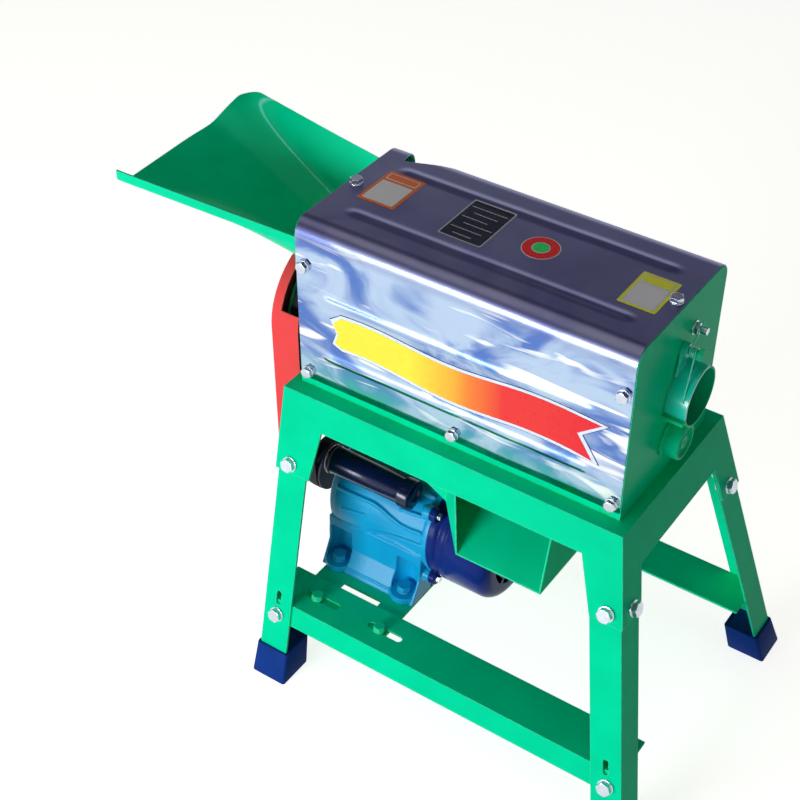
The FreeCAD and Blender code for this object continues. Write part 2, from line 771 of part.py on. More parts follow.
def build_concave():
    inner = drum_core + tooth_rise + concave_gap
    outer = inner + concave_sheet
    half = end_in - end_flange - 1.0
    start, stop = 195.0, 345.0
    rings = []
    count = 5
    for k in range(count):
        mid = -half + 4 + (2 * half - 8) * k / (count - 1)
        rings.append(arc_band(mid - 4, mid + 4, drum_y, drum_z, inner, outer, start, stop))
    bars = []
    bar_count = 13
    for k in range(bar_count):
        angle = math.radians(start + 2 + (stop - start - 4) * k / (bar_count - 1))
        mid = (inner + outer) / 2
        bar = Part.makeBox(2 * half, 5, concave_sheet - 0.6, Vector(-half, -2.5, -concave_sheet / 2 + 0.3))
        bar.rotate(Vector(0, 0, 0), Vector(1, 0, 0), math.degrees(angle) - 90)
        bar.translate(Vector(0, drum_y + mid * math.cos(angle), drum_z + mid * math.sin(angle)))
        bars.append(bar)
    shelf_y = hood_side - hood_sheet - end_sheet - 0.8
    edge_y = outer * math.cos(math.radians(stop)) - 3
    edge_z = drum_z + outer * math.sin(math.radians(stop))
    shelf = []
    for side in (-1, 1):
        low = frame_height + base_sheet
        arm = [
            (drum_y + side * edge_y, edge_z), (drum_y + side * (edge_y + 3), edge_z),
            (drum_y + side * (edge_y + 3), low + shelf_sheet), (side * shelf_y, low + shelf_sheet),
            (side * shelf_y, low), (drum_y + side * edge_y, low),
        ]
        shelf.append(side_prism(arm, -half, half))
    blank = arc_band(chute_lip_right, half, drum_y, drum_z, inner + 0.5, outer, start, stop)
    grid = rings[0].fuse(rings[1:] + bars + shelf + [blank]).removeSplitter()

    bolts = []
    drills = []
    grip = shelf_sheet + base_sheet + frame_sheet
    for side in (-1, 1):
        for x in (-base_bolt_x, 0, base_bolt_x):
            seat = Vector(x, side * base_bolt_y, frame_height + base_sheet + shelf_sheet)
            bolts.append(flange_bolt(seat, Vector(0, 0, 1), 6.0, grip))
            bolts.append(nut(seat - Vector(0, 0, grip), Vector(0, 0, -1), 6.0))
            drills.append(hole(seat, Vector(0, 0, 1), 6.0, 14))
    drills = Part.makeCompound(drills)
    add("concave_sieve", grid.cut(drills))
    add("base_bolts", *bolts)
    for name in ("housing_base", "top_frame"):
        pieces[name] = pieces[name].cut(drills)


def build_guide():
    inner = outlet_radius + 6
    guide = arc_band(-40, end_in - 0.3, outlet_y, outlet_z, inner, inner + 2, -5, 112)
    top = hood_z + hood_height - hood_sheet - 0.3
    hanger = box(-30, -10, outlet_y - 1, outlet_y + 1, outlet_z + inner + 1, top)
    hanger2 = box(150, 170, outlet_y - 1, outlet_y + 1, outlet_z + inner + 1, top)
    add("cob_guide", fused(guide, hanger, hanger2))


def build_outlet():
    x0 = end_in
    x1 = end_out + outlet_reach
    ring = tube(x0, x1, outlet_y, outlet_z, outlet_radius, outlet_radius - outlet_sheet)
    gap_wedge = arc_band(end_out, x1 + 1, outlet_y, outlet_z, 1.0, outlet_radius + 1, 80, 192)
    add("outlet_collar", ring.cut(gap_wedge))
    bar_z = outlet_z - 9
    bar_y = outlet_y - outlet_radius - gate_gap - gate_sheet
    bar_x = end_out + outlet_reach + 1
    shelf = box(end_out, bar_x, bar_y - 3, bar_y + 4.6, bar_z - 4, bar_z)
    upstand = box(end_out, bar_x, bar_y + 3.2, bar_y + 4.6, bar_z - 1, bar_z + 6)
    add("gate_stop_bar", fused(shelf, upstand))

    inner = outlet_radius + gate_gap
    outer = inner + gate_sheet
    face = end_out + 1.5
    shell = arc_band(face, end_out + outlet_reach + 2, outlet_y, outlet_z, inner, outer, 78, 188)
    lug_base = math.radians(110)
    neck_y = outlet_y + inner * math.cos(lug_base)
    neck_z = outlet_z + inner * math.sin(lug_base)
    boss = rod(face, face + 7, gate_pin_y, gate_pin_z, gate_pin_radius + 4.5)
    web = [
        (neck_y - 12, neck_z - 1), (neck_y + 9, neck_z + 3.5),
        (gate_pin_y + 8.0, gate_pin_z), (gate_pin_y - 8.0, gate_pin_z),
    ]
    arm = side_prism(web, face, face + 3)
    arm = arm.cut(rod(face - 1, face + 10, outlet_y, outlet_z, inner + 0.2))
    gate = shell.fuse([boss, arm]).removeSplitter()
    gate = gate.cut(rod(face - 5, face + 20, gate_pin_y, gate_pin_z, gate_pin_radius + 0.08))
    add("cob_gate", gate)

    out = Vector(1, 0, 0)
    pin_out = face + 7 + 11.0
    pin = rod(end_in - 6, pin_out, gate_pin_y, gate_pin_z, gate_pin_radius)
    head = hex_head(Vector(pin_out, gate_pin_y, gate_pin_z), out, 12.0, 5.0)
    washer = rod(end_out, face - 0.2, gate_pin_y, gate_pin_z, 8.0)
    add("gate_hinge_bolt", fused(pin, head, washer))
    anchor = flange_bolt(Vector(end_out, anchor_y, anchor_z), out, 8.0, end_sheet)
    post = rod(end_out, face + 14, anchor_y, anchor_z, anchor_radius)
    lock = nut(Vector(end_in, anchor_y, anchor_z), out * -1, 8.0)
    add("spring_anchor_bolt", fused(anchor, post), lock)
    add("gate_spring", torsion_spring(face + 7 + 1.8, outer))
    drills = [
        rod(end_in - 5, end_out + 1, gate_pin_y, gate_pin_z, gate_pin_radius + 0.05),
        rod(end_in - 5, end_out + 1, anchor_y, anchor_z, 4.25),
    ]
    pieces["end_plate_right"] = pieces["end_plate_right"].cut(Part.makeCompound(drills))


def torsion_spring(coil_x, gate_outer):
    """Wire coil round the hinge bolt, one leg over the anchor bolt and one leg on the gate."""
    radius = gate_pin_radius + 0.6 + spring_wire
    over_post = anchor_radius + spring_wire + 0.1
    on_gate = gate_outer + spring_wire + 0.3
    to_post = Vector(0, anchor_y - gate_pin_y, anchor_z - gate_pin_z)
    to_gate = Vector(0, outlet_y - gate_pin_y, outlet_z - gate_pin_z)
    start = math.atan2(to_post.z, to_post.y) + math.acos((radius - over_post) / to_post.Length)
    stop = math.atan2(to_gate.z, to_gate.y) - math.acos((radius - on_gate) / to_gate.Length)
    turns = spring_turns + (stop - start) % (2 * math.pi) / (2 * math.pi)
    helix = Part.makeHelix(spring_pitch, spring_pitch * turns, radius)
    turn = Rotation(
        Vector(0, math.cos(start), math.sin(start)),
        Vector(0, -math.sin(start), math.cos(start)),
        Vector(1, 0, 0),
        "XYZ",
    )
    helix.Placement = FreeCAD.Placement(Vector(coil_x, gate_pin_y, gate_pin_z), turn)
    first, last = helix.Edges[0], helix.Edges[-1]
    begin = first.valueAt(first.FirstParameter)
    into = first.tangentAt(first.FirstParameter)
    finish = last.valueAt(last.LastParameter)
    away = last.tangentAt(last.LastParameter)
    lead = math.sqrt(to_post.Length ** 2 - (radius - over_post) ** 2) + 7
    tail = math.sqrt(to_gate.Length ** 2 - (radius - on_gate) ** 2) + 3
    far = begin - into * lead
    path = Part.Wire(
        [Part.LineSegment(far, begin).toShape()]
        + helix.Edges
        + [Part.LineSegment(finish, finish + away * tail).toShape()]
    )
    ring = Part.Wire(Part.makeCircle(spring_wire, far, into))
    return path.makePipeShell([ring], True, False)


def hopper_profile(outset):
    """Mouth and throat outlines of the trough as (y, z) points, moved outwards by outset."""
    moved = []
    for line in (hopper_mouth, hopper_throat):
        row = []
        for k, (y, z) in enumerate(line):
            y0, z0 = line[max(k - 1, 0)]
            y1, z1 = line[min(k + 1, len(line) - 1)]
            length = math.hypot(y1 - y0, z1 - z0)
            row.append((y + (z1 - z0) / length * outset, z - (y1 - y0) / length * outset))
        moved.append(row)
    return moved


def hopper_marks():
    """Places along the two outlines that make point k of the one run to point k of the other."""
    marks = [0.0] * len(hopper_mouth)
    for line in (hopper_mouth, hopper_throat):
        steps = [math.dist(a, b) for a, b in zip(line, line[1:])]
        for k in range(1, len(line)):
            marks[k] += sum(steps[:k]) / sum(steps) / 2
    return marks


def curve(points, x):
    line = Part.BSplineCurve()
    line.interpolate(Points=[Vector(x, y, z) for y, z in points], Parameters=hopper_marks())
    return line


def strip_wire(inner, outer, x, lip=0.0):
    """Closed outline between two curves, with an upright lip of the same sheet on its front edge."""
    a = curve(inner, x)
    b = curve(outer, x)
    side_a = Part.LineSegment(Vector(x, *inner[-1]), Vector(x, *outer[-1])).toShape()
    corners = [outer[0], inner[0]]
    if lip:
        y, z = inner[0]
        low = outer[0][1]
        corners = [
            outer[0], (y - hopper_sheet, low), (y - hopper_sheet, low + lip), (y, low + lip), inner[0],
        ]
    front = Part.makePolygon([Vector(x, *p) for p in corners])
    return Part.Wire([a.toShape(), side_a, b.toShape()] + front.Edges)


def hopper_trough():
    """The trough's sheet from its mouth to the tongue inside the end plate."""
    mouth_in, throat_in = hopper_profile(0)
    mouth_out, throat_out = hopper_profile(hopper_sheet)
    throat_x = -end_out - 1.0
    a = strip_wire(mouth_in, mouth_out, hopper_mouth_x, lip_height)
    b = strip_wire(throat_in, throat_out, throat_x, lip_height)
    sill = strip_wire(throat_in, throat_out, throat_x)
    tongue = Part.Face(sill).extrude(Vector(hopper_seat_x - throat_x, 0, 0))
    tongue = tongue.common(box(throat_x - 1, 0, -hood_side, hood_side, 0, hopper_seat_top))
    return Part.makeLoft([a, b], True, True).fuse(tongue).removeSplitter()


def hopper_window():
    """The opening in the left end plate that the trough leads into."""
    _, below = hopper_profile(hopper_sheet + 0.3)
    x = -end_out - 2
    high = hood_z + hood_height
    front, back = below[0][0], below[-1][0]
    rim = curve(below, x)
    corners = [Vector(x, *below[-1]), Vector(x, back, high), Vector(x, front, high), Vector(x, *below[0])]
    face = Part.Face(Part.Wire([rim.toShape()] + Part.makePolygon(corners).Edges))
    limit = [
        (front, hood_z), (front, hopper_seat_top - 11),
        (back, hopper_seat_top + 0.5), (back, hood_z),
    ]
    return face.extrude(Vector(end_sheet + 4, 0, 0)).common(side_prism(limit, x - 1, 0))


def corner_relief():
    """What the rounded far corner takes off the trough's sheet, seen from above."""
    r = hopper_corner
    y0 = hopper_mouth[-1][0]
    slope = (hopper_throat[-1][0] - y0) / (-end_out - 1.0 - hopper_mouth_x)
    lean = math.atan(slope)
    cx = hopper_mouth_x + r
    cy = y0 + slope * r - r / math.cos(lean)
    tx = cx - r * math.sin(lean)
    ty = cy + r * math.cos(lean)
    far = y0 + 6
    low = hopper_seat_top - 40
    plan = [(hopper_mouth_x - 1, cy), (hopper_mouth_x - 1, far), (tx, far), (tx, ty), (cx, cy)]
    block = prism([(x, y, low) for x, y in plan], (0, 0, 80))
    return block.cut(Part.makeCylinder(r, 80, Vector(cx, cy, low)))


def build_hopper():
    trough = hopper_trough()
    mouth, _ = hopper_profile(0)
    throat_x = -end_out - 1.0
    y, z = mouth[0]
    low = hopper_profile(hopper_sheet)[0][0][1]
    tip = box(hopper_mouth_x - lip_reach, hopper_mouth_x, y - hopper_sheet, y, low, low + lip_height)
    _, inner = hopper_profile(hopper_sheet / 2)
    _, outer = hopper_profile(hopper_flange)
    flange = Part.Face(strip_wire(inner, outer, throat_x - 1.2)).extrude(Vector(2.0, 0, 0))
    flange = flange.common(
        box(throat_x - 5, throat_x + 5, -hood_side + 3, hood_side - 3, 0, hood_z + hood_height - 3)
    )
    hopper = trough.fuse([tip, flange]).removeSplitter().cut(corner_relief())

    bolts = []
    drills = []
    _, ring = hopper_profile(8.5)
    for k in (1, 3, 5):
        y, z = ring[k]
        seat = Vector(throat_x - 1.2, y, z)
        out = Vector(-1, 0, 0)
        bolts.append(flange_bolt(seat, out, 5.0, end_sheet + 2.2))
        drills.append(hole(seat, out, 5.0, 12))
    drills = Part.makeCompound(drills)
    hopper = hopper.cut(drills)
    pieces["end_plate_left"] = pieces["end_plate_left"].cut(drills)
    add("feed_hopper", hopper)
    add("hopper_bolts", *bolts)


def build_guard():
    low = drum_z - guard_drop
    r = guard_radius

    def outline(inset):
        a = Vector(0, drum_y - r + inset, low)
        b = Vector(0, drum_y - r + inset, drum_z)
        c = Vector(0, drum_y, drum_z + r - inset)
        d = Vector(0, drum_y + r - inset, drum_z)
        e = Vector(0, drum_y + r - inset, low)
        return Part.Face(Part.Wire([
            Part.LineSegment(a, b).toShape(),
            Part.Arc(b, c, d).toShape(),
            Part.LineSegment(d, e).toShape(),
            Part.LineSegment(e, a).toShape(),
        ]))

    inner_x = frame_left - 2.0
    depth = inner_x - guard_outer_x
    cover = outline(0).extrude(Vector(depth, 0, 0))
    cover.translate(Vector(guard_outer_x, 0, 0))
    hollow = outline(guard_sheet).extrude(Vector(depth, 0, 0))
    hollow.translate(Vector(guard_outer_x + guard_sheet, 0, 0))
    hollow = hollow.fuse(
        box(guard_outer_x + guard_sheet, inner_x, drum_y - r + guard_sheet, drum_y + r - guard_sheet,
            low - 5, low + 5)
    )
    cover = cover.cut(hollow)
    cover = cover.cut(
        box(guard_outer_x + guard_lip, inner_x + 1, drum_y - r - 1, drum_y + r + 1,
            drum_z + guard_deep_top, drum_z + r + 1)
    )
    tabs = []
    bolts = []
    drills = []
    tab_z = frame_height - 30
    for side in (-1, 1):
        y0, y1 = sorted((side * (r - guard_sheet), side * (r + 22)))
        tabs.append(box(inner_x - guard_sheet, inner_x, drum_y + y0, drum_y + y1, tab_z - 12, tab_z + 12))
        y2, y3 = sorted((side * (r + 1), side * (r + 22)))
        tabs.append(box(inner_x - guard_sheet, frame_left, drum_y + y2, drum_y + y3, tab_z - 12, tab_z + 12))
        seat = Vector(inner_x - guard_sheet, drum_y + side * (r + 12), tab_z)
        bolts.append(flange_bolt(seat, Vector(-1, 0, 0), 6.0, 6.5))
        drills.append(hole(seat, Vector(1, 0, 0), 6.0, 14))
    cover = cover.fuse(tabs).removeSplitter()
    drills = Part.makeCompound(drills)
    add("belt_guard", cover.cut(drills))
    add("guard_bolts", *bolts)
    for name in ("top_frame", "leg_front_left", "leg_back_left"):
        pieces[name] = pieces[name].cut(drills)


def chute_room(grow, past):
    """Space inside the chute, grown by a sheet's thickness; past runs it out of mouth and top."""
    half = window_length / 2
    top = frame_height - frame_sheet
    rear = chute_back_y + grow
    front = chute_lip_y - past
    slope = (chute_back_z - chute_lip_z) / (chute_back_y - chute_lip_y)

    def wall_x(y, back_x, lip_x):
        return back_x + (lip_x - back_x) * (chute_back_y - y) / (chute_back_y - chute_lip_y)

    def floor_z(y):
        return chute_lip_z + slope * (y - chute_lip_y) - grow

    plan = [
        (wall_x(rear, -half, chute_lip_left) - grow, rear),
        (wall_x(rear, half, chute_lip_right) + grow, rear),
        (wall_x(front, half, chute_lip_right) + grow, front),
        (wall_x(front, -half, chute_lip_left) - grow, front),
    ]
    profile = [(rear, top + past), (rear, floor_z(rear)), (front, floor_z(front))]
    profile.append((front, top + past) if past else (front, chute_lip_z))
    if not past:
        profile.append((-frame_half + chute_front_inset, top))
    deep = top - chute_lip_z + 80
    room = prism([(x, y, top - deep) for x, y in plan], (0, 0, deep + 100))
    room = room.common(side_prism(profile, -2 * half, 2 * half))

    board = [
        (-half - grow, top - 3 - grow), (0, top - 3 - grow - board_slope * half),
        (0, top + past), (-half - grow, top + past),
    ]
    pocket = front_prism(board, -window_width / 2 - grow, rear)
    left_side = [
        (wall_x(rear + 50, -half, chute_lip_left), rear + 50),
        (wall_x(chute_lip_y, -half, chute_lip_left), chute_lip_y),
        (-3 * half, chute_lip_y),
        (-3 * half, rear + 50),
    ]
    pocket = pocket.common(prism([(x, y, top - deep) for x, y in left_side], (0, 0, deep + 100)))
    return room.fuse(pocket)


def build_chute():
    half = window_length / 2
    top = frame_height - frame_sheet
    inside = chute_room(0.0, 20.0)
    edge = half + chute_flange
    rear = chute_back_y + chute_flange
    flange = box(-edge, edge, -window_width / 2 - chute_sheet, rear, top - chute_sheet, top)
    flange = flange.cut(
        box(chute_lip_right - 30, edge + 1, -frame_width, chute_flange_front, top - 20, top + 20)
    )
    chute = chute_room(chute_sheet, 0.0).fuse(flange).cut(inside)
    round_sieve = drum_core + tooth_rise + concave_gap + concave_sheet + 1.0
    chute = chute.cut(rod(-2 * half, 2 * half, drum_y, drum_z, round_sieve)).removeSplitter()

    screws = []
    drills = []
    side_x = half + chute_flange / 2 + 1
    back_y = chute_back_y + chute_flange / 2 + 1
    spots = [(-side_x, -60), (-side_x, 30), (-60, back_y), (110, back_y), (side_x, 70)]
    for x, y in spots:
        seat = Vector(x, y, top - chute_sheet)
        screws.append(flange_bolt(seat, Vector(0, 0, -1), 5.0, chute_sheet + frame_sheet - 4.5))
        drills.append(hole(seat, Vector(0, 0, 1), 5.0, 12))
    drills = Part.makeCompound(drills)
    add("kernel_chute", chute.cut(drills))
    add("chute_screws", *screws)
    pieces["top_frame"] = pieces["top_frame"].cut(drills)


def build_motor():
    y, z = motor_y, motor_z
    x0, x1 = motor_left, motor_right
    body = rod(x0, x1, y, z, motor_radius)
    ribs = []
    for angle in (48, 72, 96, 120, 144, 156, 192):
        rib = Part.makeBox(x1 - x0 - 14, 6, 8, Vector(x0 + 7, -3, motor_radius - 5))
        rib.rotate(Vector(0, 0, 0), Vector(1, 0, 0), angle - 90)
        rib.translate(Vector(0, y, z))
        ribs.append(rib)
    foot_z = rail_top - rail_sheet
    for sx in (-1, 1):
        for sy in (-1, 1):
            fx = motor_mid + sx * foot_spacing_x / 2
            fy = y + sy * foot_spacing_y / 2
            ribs.append(box(fx - 22, fx + 22, fy - 18, fy + 15, foot_z, foot_z + foot_thick))
    for sy in (-1, 1):
        lean = [
            (y + sy * 30, z - 40), (y + sy * (motor_radius - 2), z - 18),
            (y + sy * (foot_spacing_y / 2 - 12), foot_z + foot_thick), (y + sy * (foot_spacing_y / 2 - 12), foot_z),
            (y + sy * 20, foot_z),
        ]
        ribs.append(side_prism(lean, motor_mid - 72, motor_mid + 72))
    body = body.fuse(ribs).removeSplitter()
    bore = rod(x0 + 12, x1 + 1, y, z, rotor_radius + rotor_gap)
    body = body.cut(bore).cut(rod(x0 - 1, x1 + 1, y, z, motor_shaft_radius + 1.0))
    for sx in (-1, 1):
        for sy in (-1, 1):
            body = body.cut(
                hole(Vector(motor_mid + sx * foot_spacing_x / 2, y + sy * foot_spacing_y / 2, foot_z),
                     Vector(0, 0, 1), 10.0, 22)
            )
    add("motor_body", body)

    bell_x = x1 + bell_length
    bell = turned([
        (x1, motor_shaft_radius + 1.0), (x1, motor_radius + 3), (x1 + 8, motor_radius + 3),
        (x1 + 14, cowl_radius - cowl_sheet), (bell_x, cowl_radius - cowl_sheet),
        (bell_x, motor_shaft_radius + 1.0),
    ], y, z)
    bolts = []
    drills = []
    lobes = []
    for k in range(4):
        angle = math.radians(45 + 90 * k)
        ear_y = y + bell_bolt_circle * math.cos(angle)
        ear_z = z + bell_bolt_circle * math.sin(angle)
        seat = Vector(x1 + 9, ear_y, ear_z)
        bell = bell.fuse(rod(x1, x1 + 9, ear_y, ear_z, bell_ear))
        lobes.append(rod(x1 - 14, x1, ear_y, ear_z, bell_ear))
        bolts.append(flange_bolt(seat, Vector(1, 0, 0), 5.0, 9.0))
        drills.append(hole(seat, Vector(1, 0, 0), 5.0, 15))
    drills = Part.makeCompound(drills)
    add("motor_end_bell", bell.removeSplitter().cut(drills))
    pieces["motor_body"] = pieces["motor_body"].fuse(lobes).removeSplitter().cut(drills)
    add("end_bell_bolts", *bolts)

    c0 = bell_x - 10
    c1 = c0 + cowl_length
    dome = 14.0
    cowl = turned([
        (c0, cowl_radius - cowl_sheet), (c0, cowl_radius), (c1 - dome, cowl_radius),
        (c1 - 4, cowl_radius - 6), (c1, cowl_radius - dome - 4), (c1, 0.0),
        (c1 - cowl_sheet, 0.0), (c1 - cowl_sheet, cowl_radius - dome - 4.6),
        (c1 - 4 - cowl_sheet, cowl_radius - 6 - cowl_sheet), (c1 - dome, cowl_radius - cowl_sheet),
    ], y, z)
    slots = []
    for k in range(5):
        reach = 12 + 10 * k
        for s in (-1, 1):
            slots.append(arc_band(c1 - 5, c1 + 5, y, z, reach, reach + 4, 90 * s - 62, 90 * s + 62))
    cowl = cowl.cut(Part.makeCompound(slots))
    add("fan_cowl", cowl)

    hub_x0 = bell_x + 4
    fan = tube(hub_x0, hub_x0 + 22, y, z, 16, motor_shaft_radius - 1.5)
    back = tube(hub_x0, hub_x0 + 2.5, y, z, 52, motor_shaft_radius - 1.5)
    blades = []
    for k in range(7):
        blade = Part.makeBox(18, 2.5, 40, Vector(hub_x0 + 1, -1.25, 14))
        blade.rotate(Vector(0, 0, 0), Vector(1, 0, 0), 360.0 / 7 * k)
        blade.translate(Vector(0, y, z))
        blades.append(blade)
    add("cooling_fan", fan.fuse([back] + blades).removeSplitter())

    s0 = pulley_mid - pulley_width / 2 - 2
    shaft = rod(s0, bell_x, y, z, motor_shaft_radius - fit_gap)
    shaft = shaft.fuse(rod(bell_x - 1, hub_x0 + 23, y, z, motor_shaft_radius - 1.5))
    core = rod(x0 + 26, x1 - 12, y, z, rotor_radius)
    add("motor_rotor", fused(shaft, core))
    bearings = []
    for bx in (x0 + 2, x1 + 6):
        bearings.append(tube(bx, bx + 8, y, z, motor_shaft_radius + 1.0, motor_shaft_radius))
    add("motor_bushes", *bearings)

    add("motor_pulley", grooved_wheel(small_pulley_radius, y, z, motor_shaft_radius - fit_gap, 30.0))

    angle = math.radians(90 + capacitor_angle)
    reach = motor_radius + 3 + 2.5 + capacitor_radius
    cy = y + reach * math.cos(angle)
    cz = z + reach * math.sin(angle)
    cx0 = x0 + 6
    can = rod(cx0, cx0 + capacitor_length, cy, cz, capacitor_radius)
    caps = can.fuse([
        rod(cx0 - 4, cx0 + 6, cy, cz, capacitor_radius + 2),
        rod(cx0 + capacitor_length - 6, cx0 + capacitor_length + 5, cy, cz, capacitor_radius + 2),
    ]).removeSplitter()
    saddle = []
    for sx in (cx0 + 24, cx0 + capacitor_length - 34):
        block = Part.makeBox(14, 18, 14, Vector(sx, -9, motor_radius - 4))
        block.rotate(Vector(0, 0, 0), Vector(1, 0, 0), capacitor_angle)
        block.translate(Vector(0, y, z))
        saddle.append(block)
    cradle = saddle[0].fuse(saddle[1:])
    cradle = cradle.cut(caps).cut(pieces["motor_body"])
    add("capacitor", caps)
    add("capacitor_saddle", *cradle.Solids)

    gland_angle = math.radians(20)
    gy = y + motor_radius * math.cos(gland_angle)
    gz = z + motor_radius * math.sin(gland_angle)
    way = Vector(0, math.cos(gland_angle), math.sin(gland_angle))
    spot = Vector(motor_mid + 30, gy, gz)
    gland = Part.makeCylinder(11, 14, spot - way * 1.0, way)
    gland = gland.fuse(hex_head(spot + way * 10, way, 20, 8))
    gland = gland.cut(Part.makeCylinder(4, 40, spot, way)).cut(pieces["motor_body"])
    add("cable_gland", gland)


def write_parts():
    whole = Part.makeCompound(list(pieces.values()))
    bounds = whole.BoundBox
    shift = Vector(-(bounds.XMin + bounds.XMax) / 2, -(bounds.YMin + bounds.YMax) / 2, -bounds.ZMin)
    os.makedirs("parts", exist_ok=True)
    for name, shape in pieces.items():
        placed = shape.copy()
        placed.translate(shift)
        placed.exportStep("parts/" + name + ".step")
    print("pieces", len(pieces), "shift", [round(v, 4) for v in shift])
    print("box", [round(v, 2) for v in (bounds.XLength, bounds.YLength, bounds.ZLength)])


build_stand()
build_rails()
build_housing()
build_drum()
build_belt()
build_bearings()
build_concave()
build_guide()
build_outlet()
build_hopper()
build_guard()
build_chute()
build_motor()
write_parts()
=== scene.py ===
import json
import math

import bmesh
import bpy
from mathutils import Matrix, Vector


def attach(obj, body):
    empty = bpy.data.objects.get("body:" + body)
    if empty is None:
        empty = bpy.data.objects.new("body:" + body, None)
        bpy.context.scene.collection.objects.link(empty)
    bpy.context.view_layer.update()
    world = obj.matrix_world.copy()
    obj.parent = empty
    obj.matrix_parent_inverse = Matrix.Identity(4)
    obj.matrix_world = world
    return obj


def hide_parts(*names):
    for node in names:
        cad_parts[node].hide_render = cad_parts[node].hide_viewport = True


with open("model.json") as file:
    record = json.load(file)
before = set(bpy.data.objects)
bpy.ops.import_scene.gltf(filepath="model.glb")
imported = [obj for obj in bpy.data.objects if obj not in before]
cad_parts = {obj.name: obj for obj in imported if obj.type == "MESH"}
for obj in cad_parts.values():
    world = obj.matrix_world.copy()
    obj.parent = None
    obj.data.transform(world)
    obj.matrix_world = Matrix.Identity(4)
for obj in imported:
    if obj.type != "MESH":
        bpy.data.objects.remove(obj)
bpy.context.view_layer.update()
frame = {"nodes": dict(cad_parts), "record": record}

nodes = frame["nodes"]
print("frame loaded:", len(nodes), "nodes")

# where the middle of the hood lies in the row frame, in metres
midX = 0.061462


def mm(x, y, z):
    # a point given in millimetres about the hood's middle, with the floor at 0
    return Vector((x / 1000 + midX, y / 1000, z / 1000))


def hexColour(code, alpha=1.0):
    parts = [int(code[i:i + 2], 16) / 255 for i in (1, 3, 5)]
    linear = [c / 12.92 if c <= 0.04045 else ((c + 0.055) / 1.055) ** 2.4 for c in parts]
    return (*linear, alpha)


def perMetre(millimetres):
    # texture scale whose features are about this many millimetres across
    return 1000 / millimetres


# camera, at the photograph's viewing angle
camera = {
    "azimuth": 33.376,
    "elevation": 39.844,
    "roll": 0.693,
    "place": (701.4, -1219.9, 1558.4),
    "focalPixels": 1568.342,
    "centrePixels": (426.285, 413.316),
    "framePixels": 800,
    "sensor": 36,
}


def makeCamera(view):
    data = bpy.data.cameras.new("camera")
    obj = bpy.data.objects.new("camera", data)
    bpy.context.scene.collection.objects.link(obj)
    a, e, r = (math.radians(view[k]) for k in ("azimuth", "elevation", "roll"))
    back = Vector((math.sin(a) * math.cos(e), -math.cos(a) * math.cos(e), math.sin(e)))
    right = Vector((math.cos(a), math.sin(a), 0))
    up = back.cross(right)
    right, up = right * math.cos(r) + up * math.sin(r), up * math.cos(r) - right * math.sin(r)
    turn = Matrix((right, up, back)).transposed().to_4x4()
    obj.matrix_world = Matrix.Translation(mm(*view["place"])) @ turn
    size = view["framePixels"]
    data.sensor_width = view["sensor"]
    data.lens = view["focalPixels"] * view["sensor"] / size
    data.shift_x = (size / 2 - view["centrePixels"][0]) / size
    data.shift_y = (view["centrePixels"][1] - size / 2) / size
    data.clip_start, data.clip_end = 0.05, 50
    bpy.context.scene.camera = obj


makeCamera(camera)
print("camera placed")


def feed(node, inputs):
    # an input is a plain value, a socket to link from, or a node whose first open output is meant
    for key, value in inputs.items():
        if isinstance(value, bpy.types.Node):
            value = next(socket for socket in value.outputs if socket.enabled)
        if isinstance(value, bpy.types.NodeSocket):
            node.id_data.links.new(value, node.inputs[key])
        else:
            node.inputs[key].default_value = value


def addNode(owner, kind, inputs=None, **settings):
    # one shader node with its settings and what feeds it
    node = owner.node_tree.nodes.new("ShaderNode" + kind)
    for key, value in settings.items():
        setattr(node, key, value)
    feed(node, inputs or {})
    return node


# studio: a pale floor, a low soft light in front and weak ones above and at the right
studio = {
    "floorSize": 14.0,
    "floor": "#F4F4F2",
    "floorRoughness": 0.9,
    "floorGlow": 0.88,
    "horizon": "#FFFFFF",
    "zenith": "#423F5A",
    "fill": 0.23,
    "whiteUpTo": 0.34,
    "darkFrom": 0.56,
    "lamps": [
        # name, place in metres, aim, size, power, colour
        ("frontLight", (-0.75, -3.3, 0.62), (0.0, 0.0, 0.38), (1.7, 1.0), 92, "#F2F8FF"),
        ("topLight", (-0.6, -0.5, 3.0), (0.05, 0.0, 0.3), (2.4, 2.4), 16, "#FFF9DE"),
        ("rightLight", (3.2, -1.0, 1.3), (0.1, 0.0, 0.4), (1.4, 1.4), 5, "#FFF9DE"),
    ],
}


def makeLamp(name, place, aim, size, power, colour):
    data = bpy.data.lights.new(name, "AREA")
    data.shape = "RECTANGLE"
    data.size, data.size_y = size
    data.energy = power
    data.color = hexColour(colour)[:3]
    obj = bpy.data.objects.new(name, data)
    bpy.context.scene.collection.objects.link(obj)
    obj.location = place
    obj.rotation_euler = (Vector(aim) - Vector(place)).to_track_quat("-Z", "Y").to_euler()


def seenDirectly(owner):
    # 1 where a thing itself is seen, straight, mirrored or through glass, and 0 for the light it sheds
    rays = addNode(owner, "LightPath")
    seen = rays.outputs["Is Camera Ray"]
    for kind in ("Is Glossy Ray", "Is Transmission Ray"):
        seen = addNode(owner, "Math", {0: seen, 1: rays.outputs[kind]}, operation="ADD", use_clamp=True)
    return seen


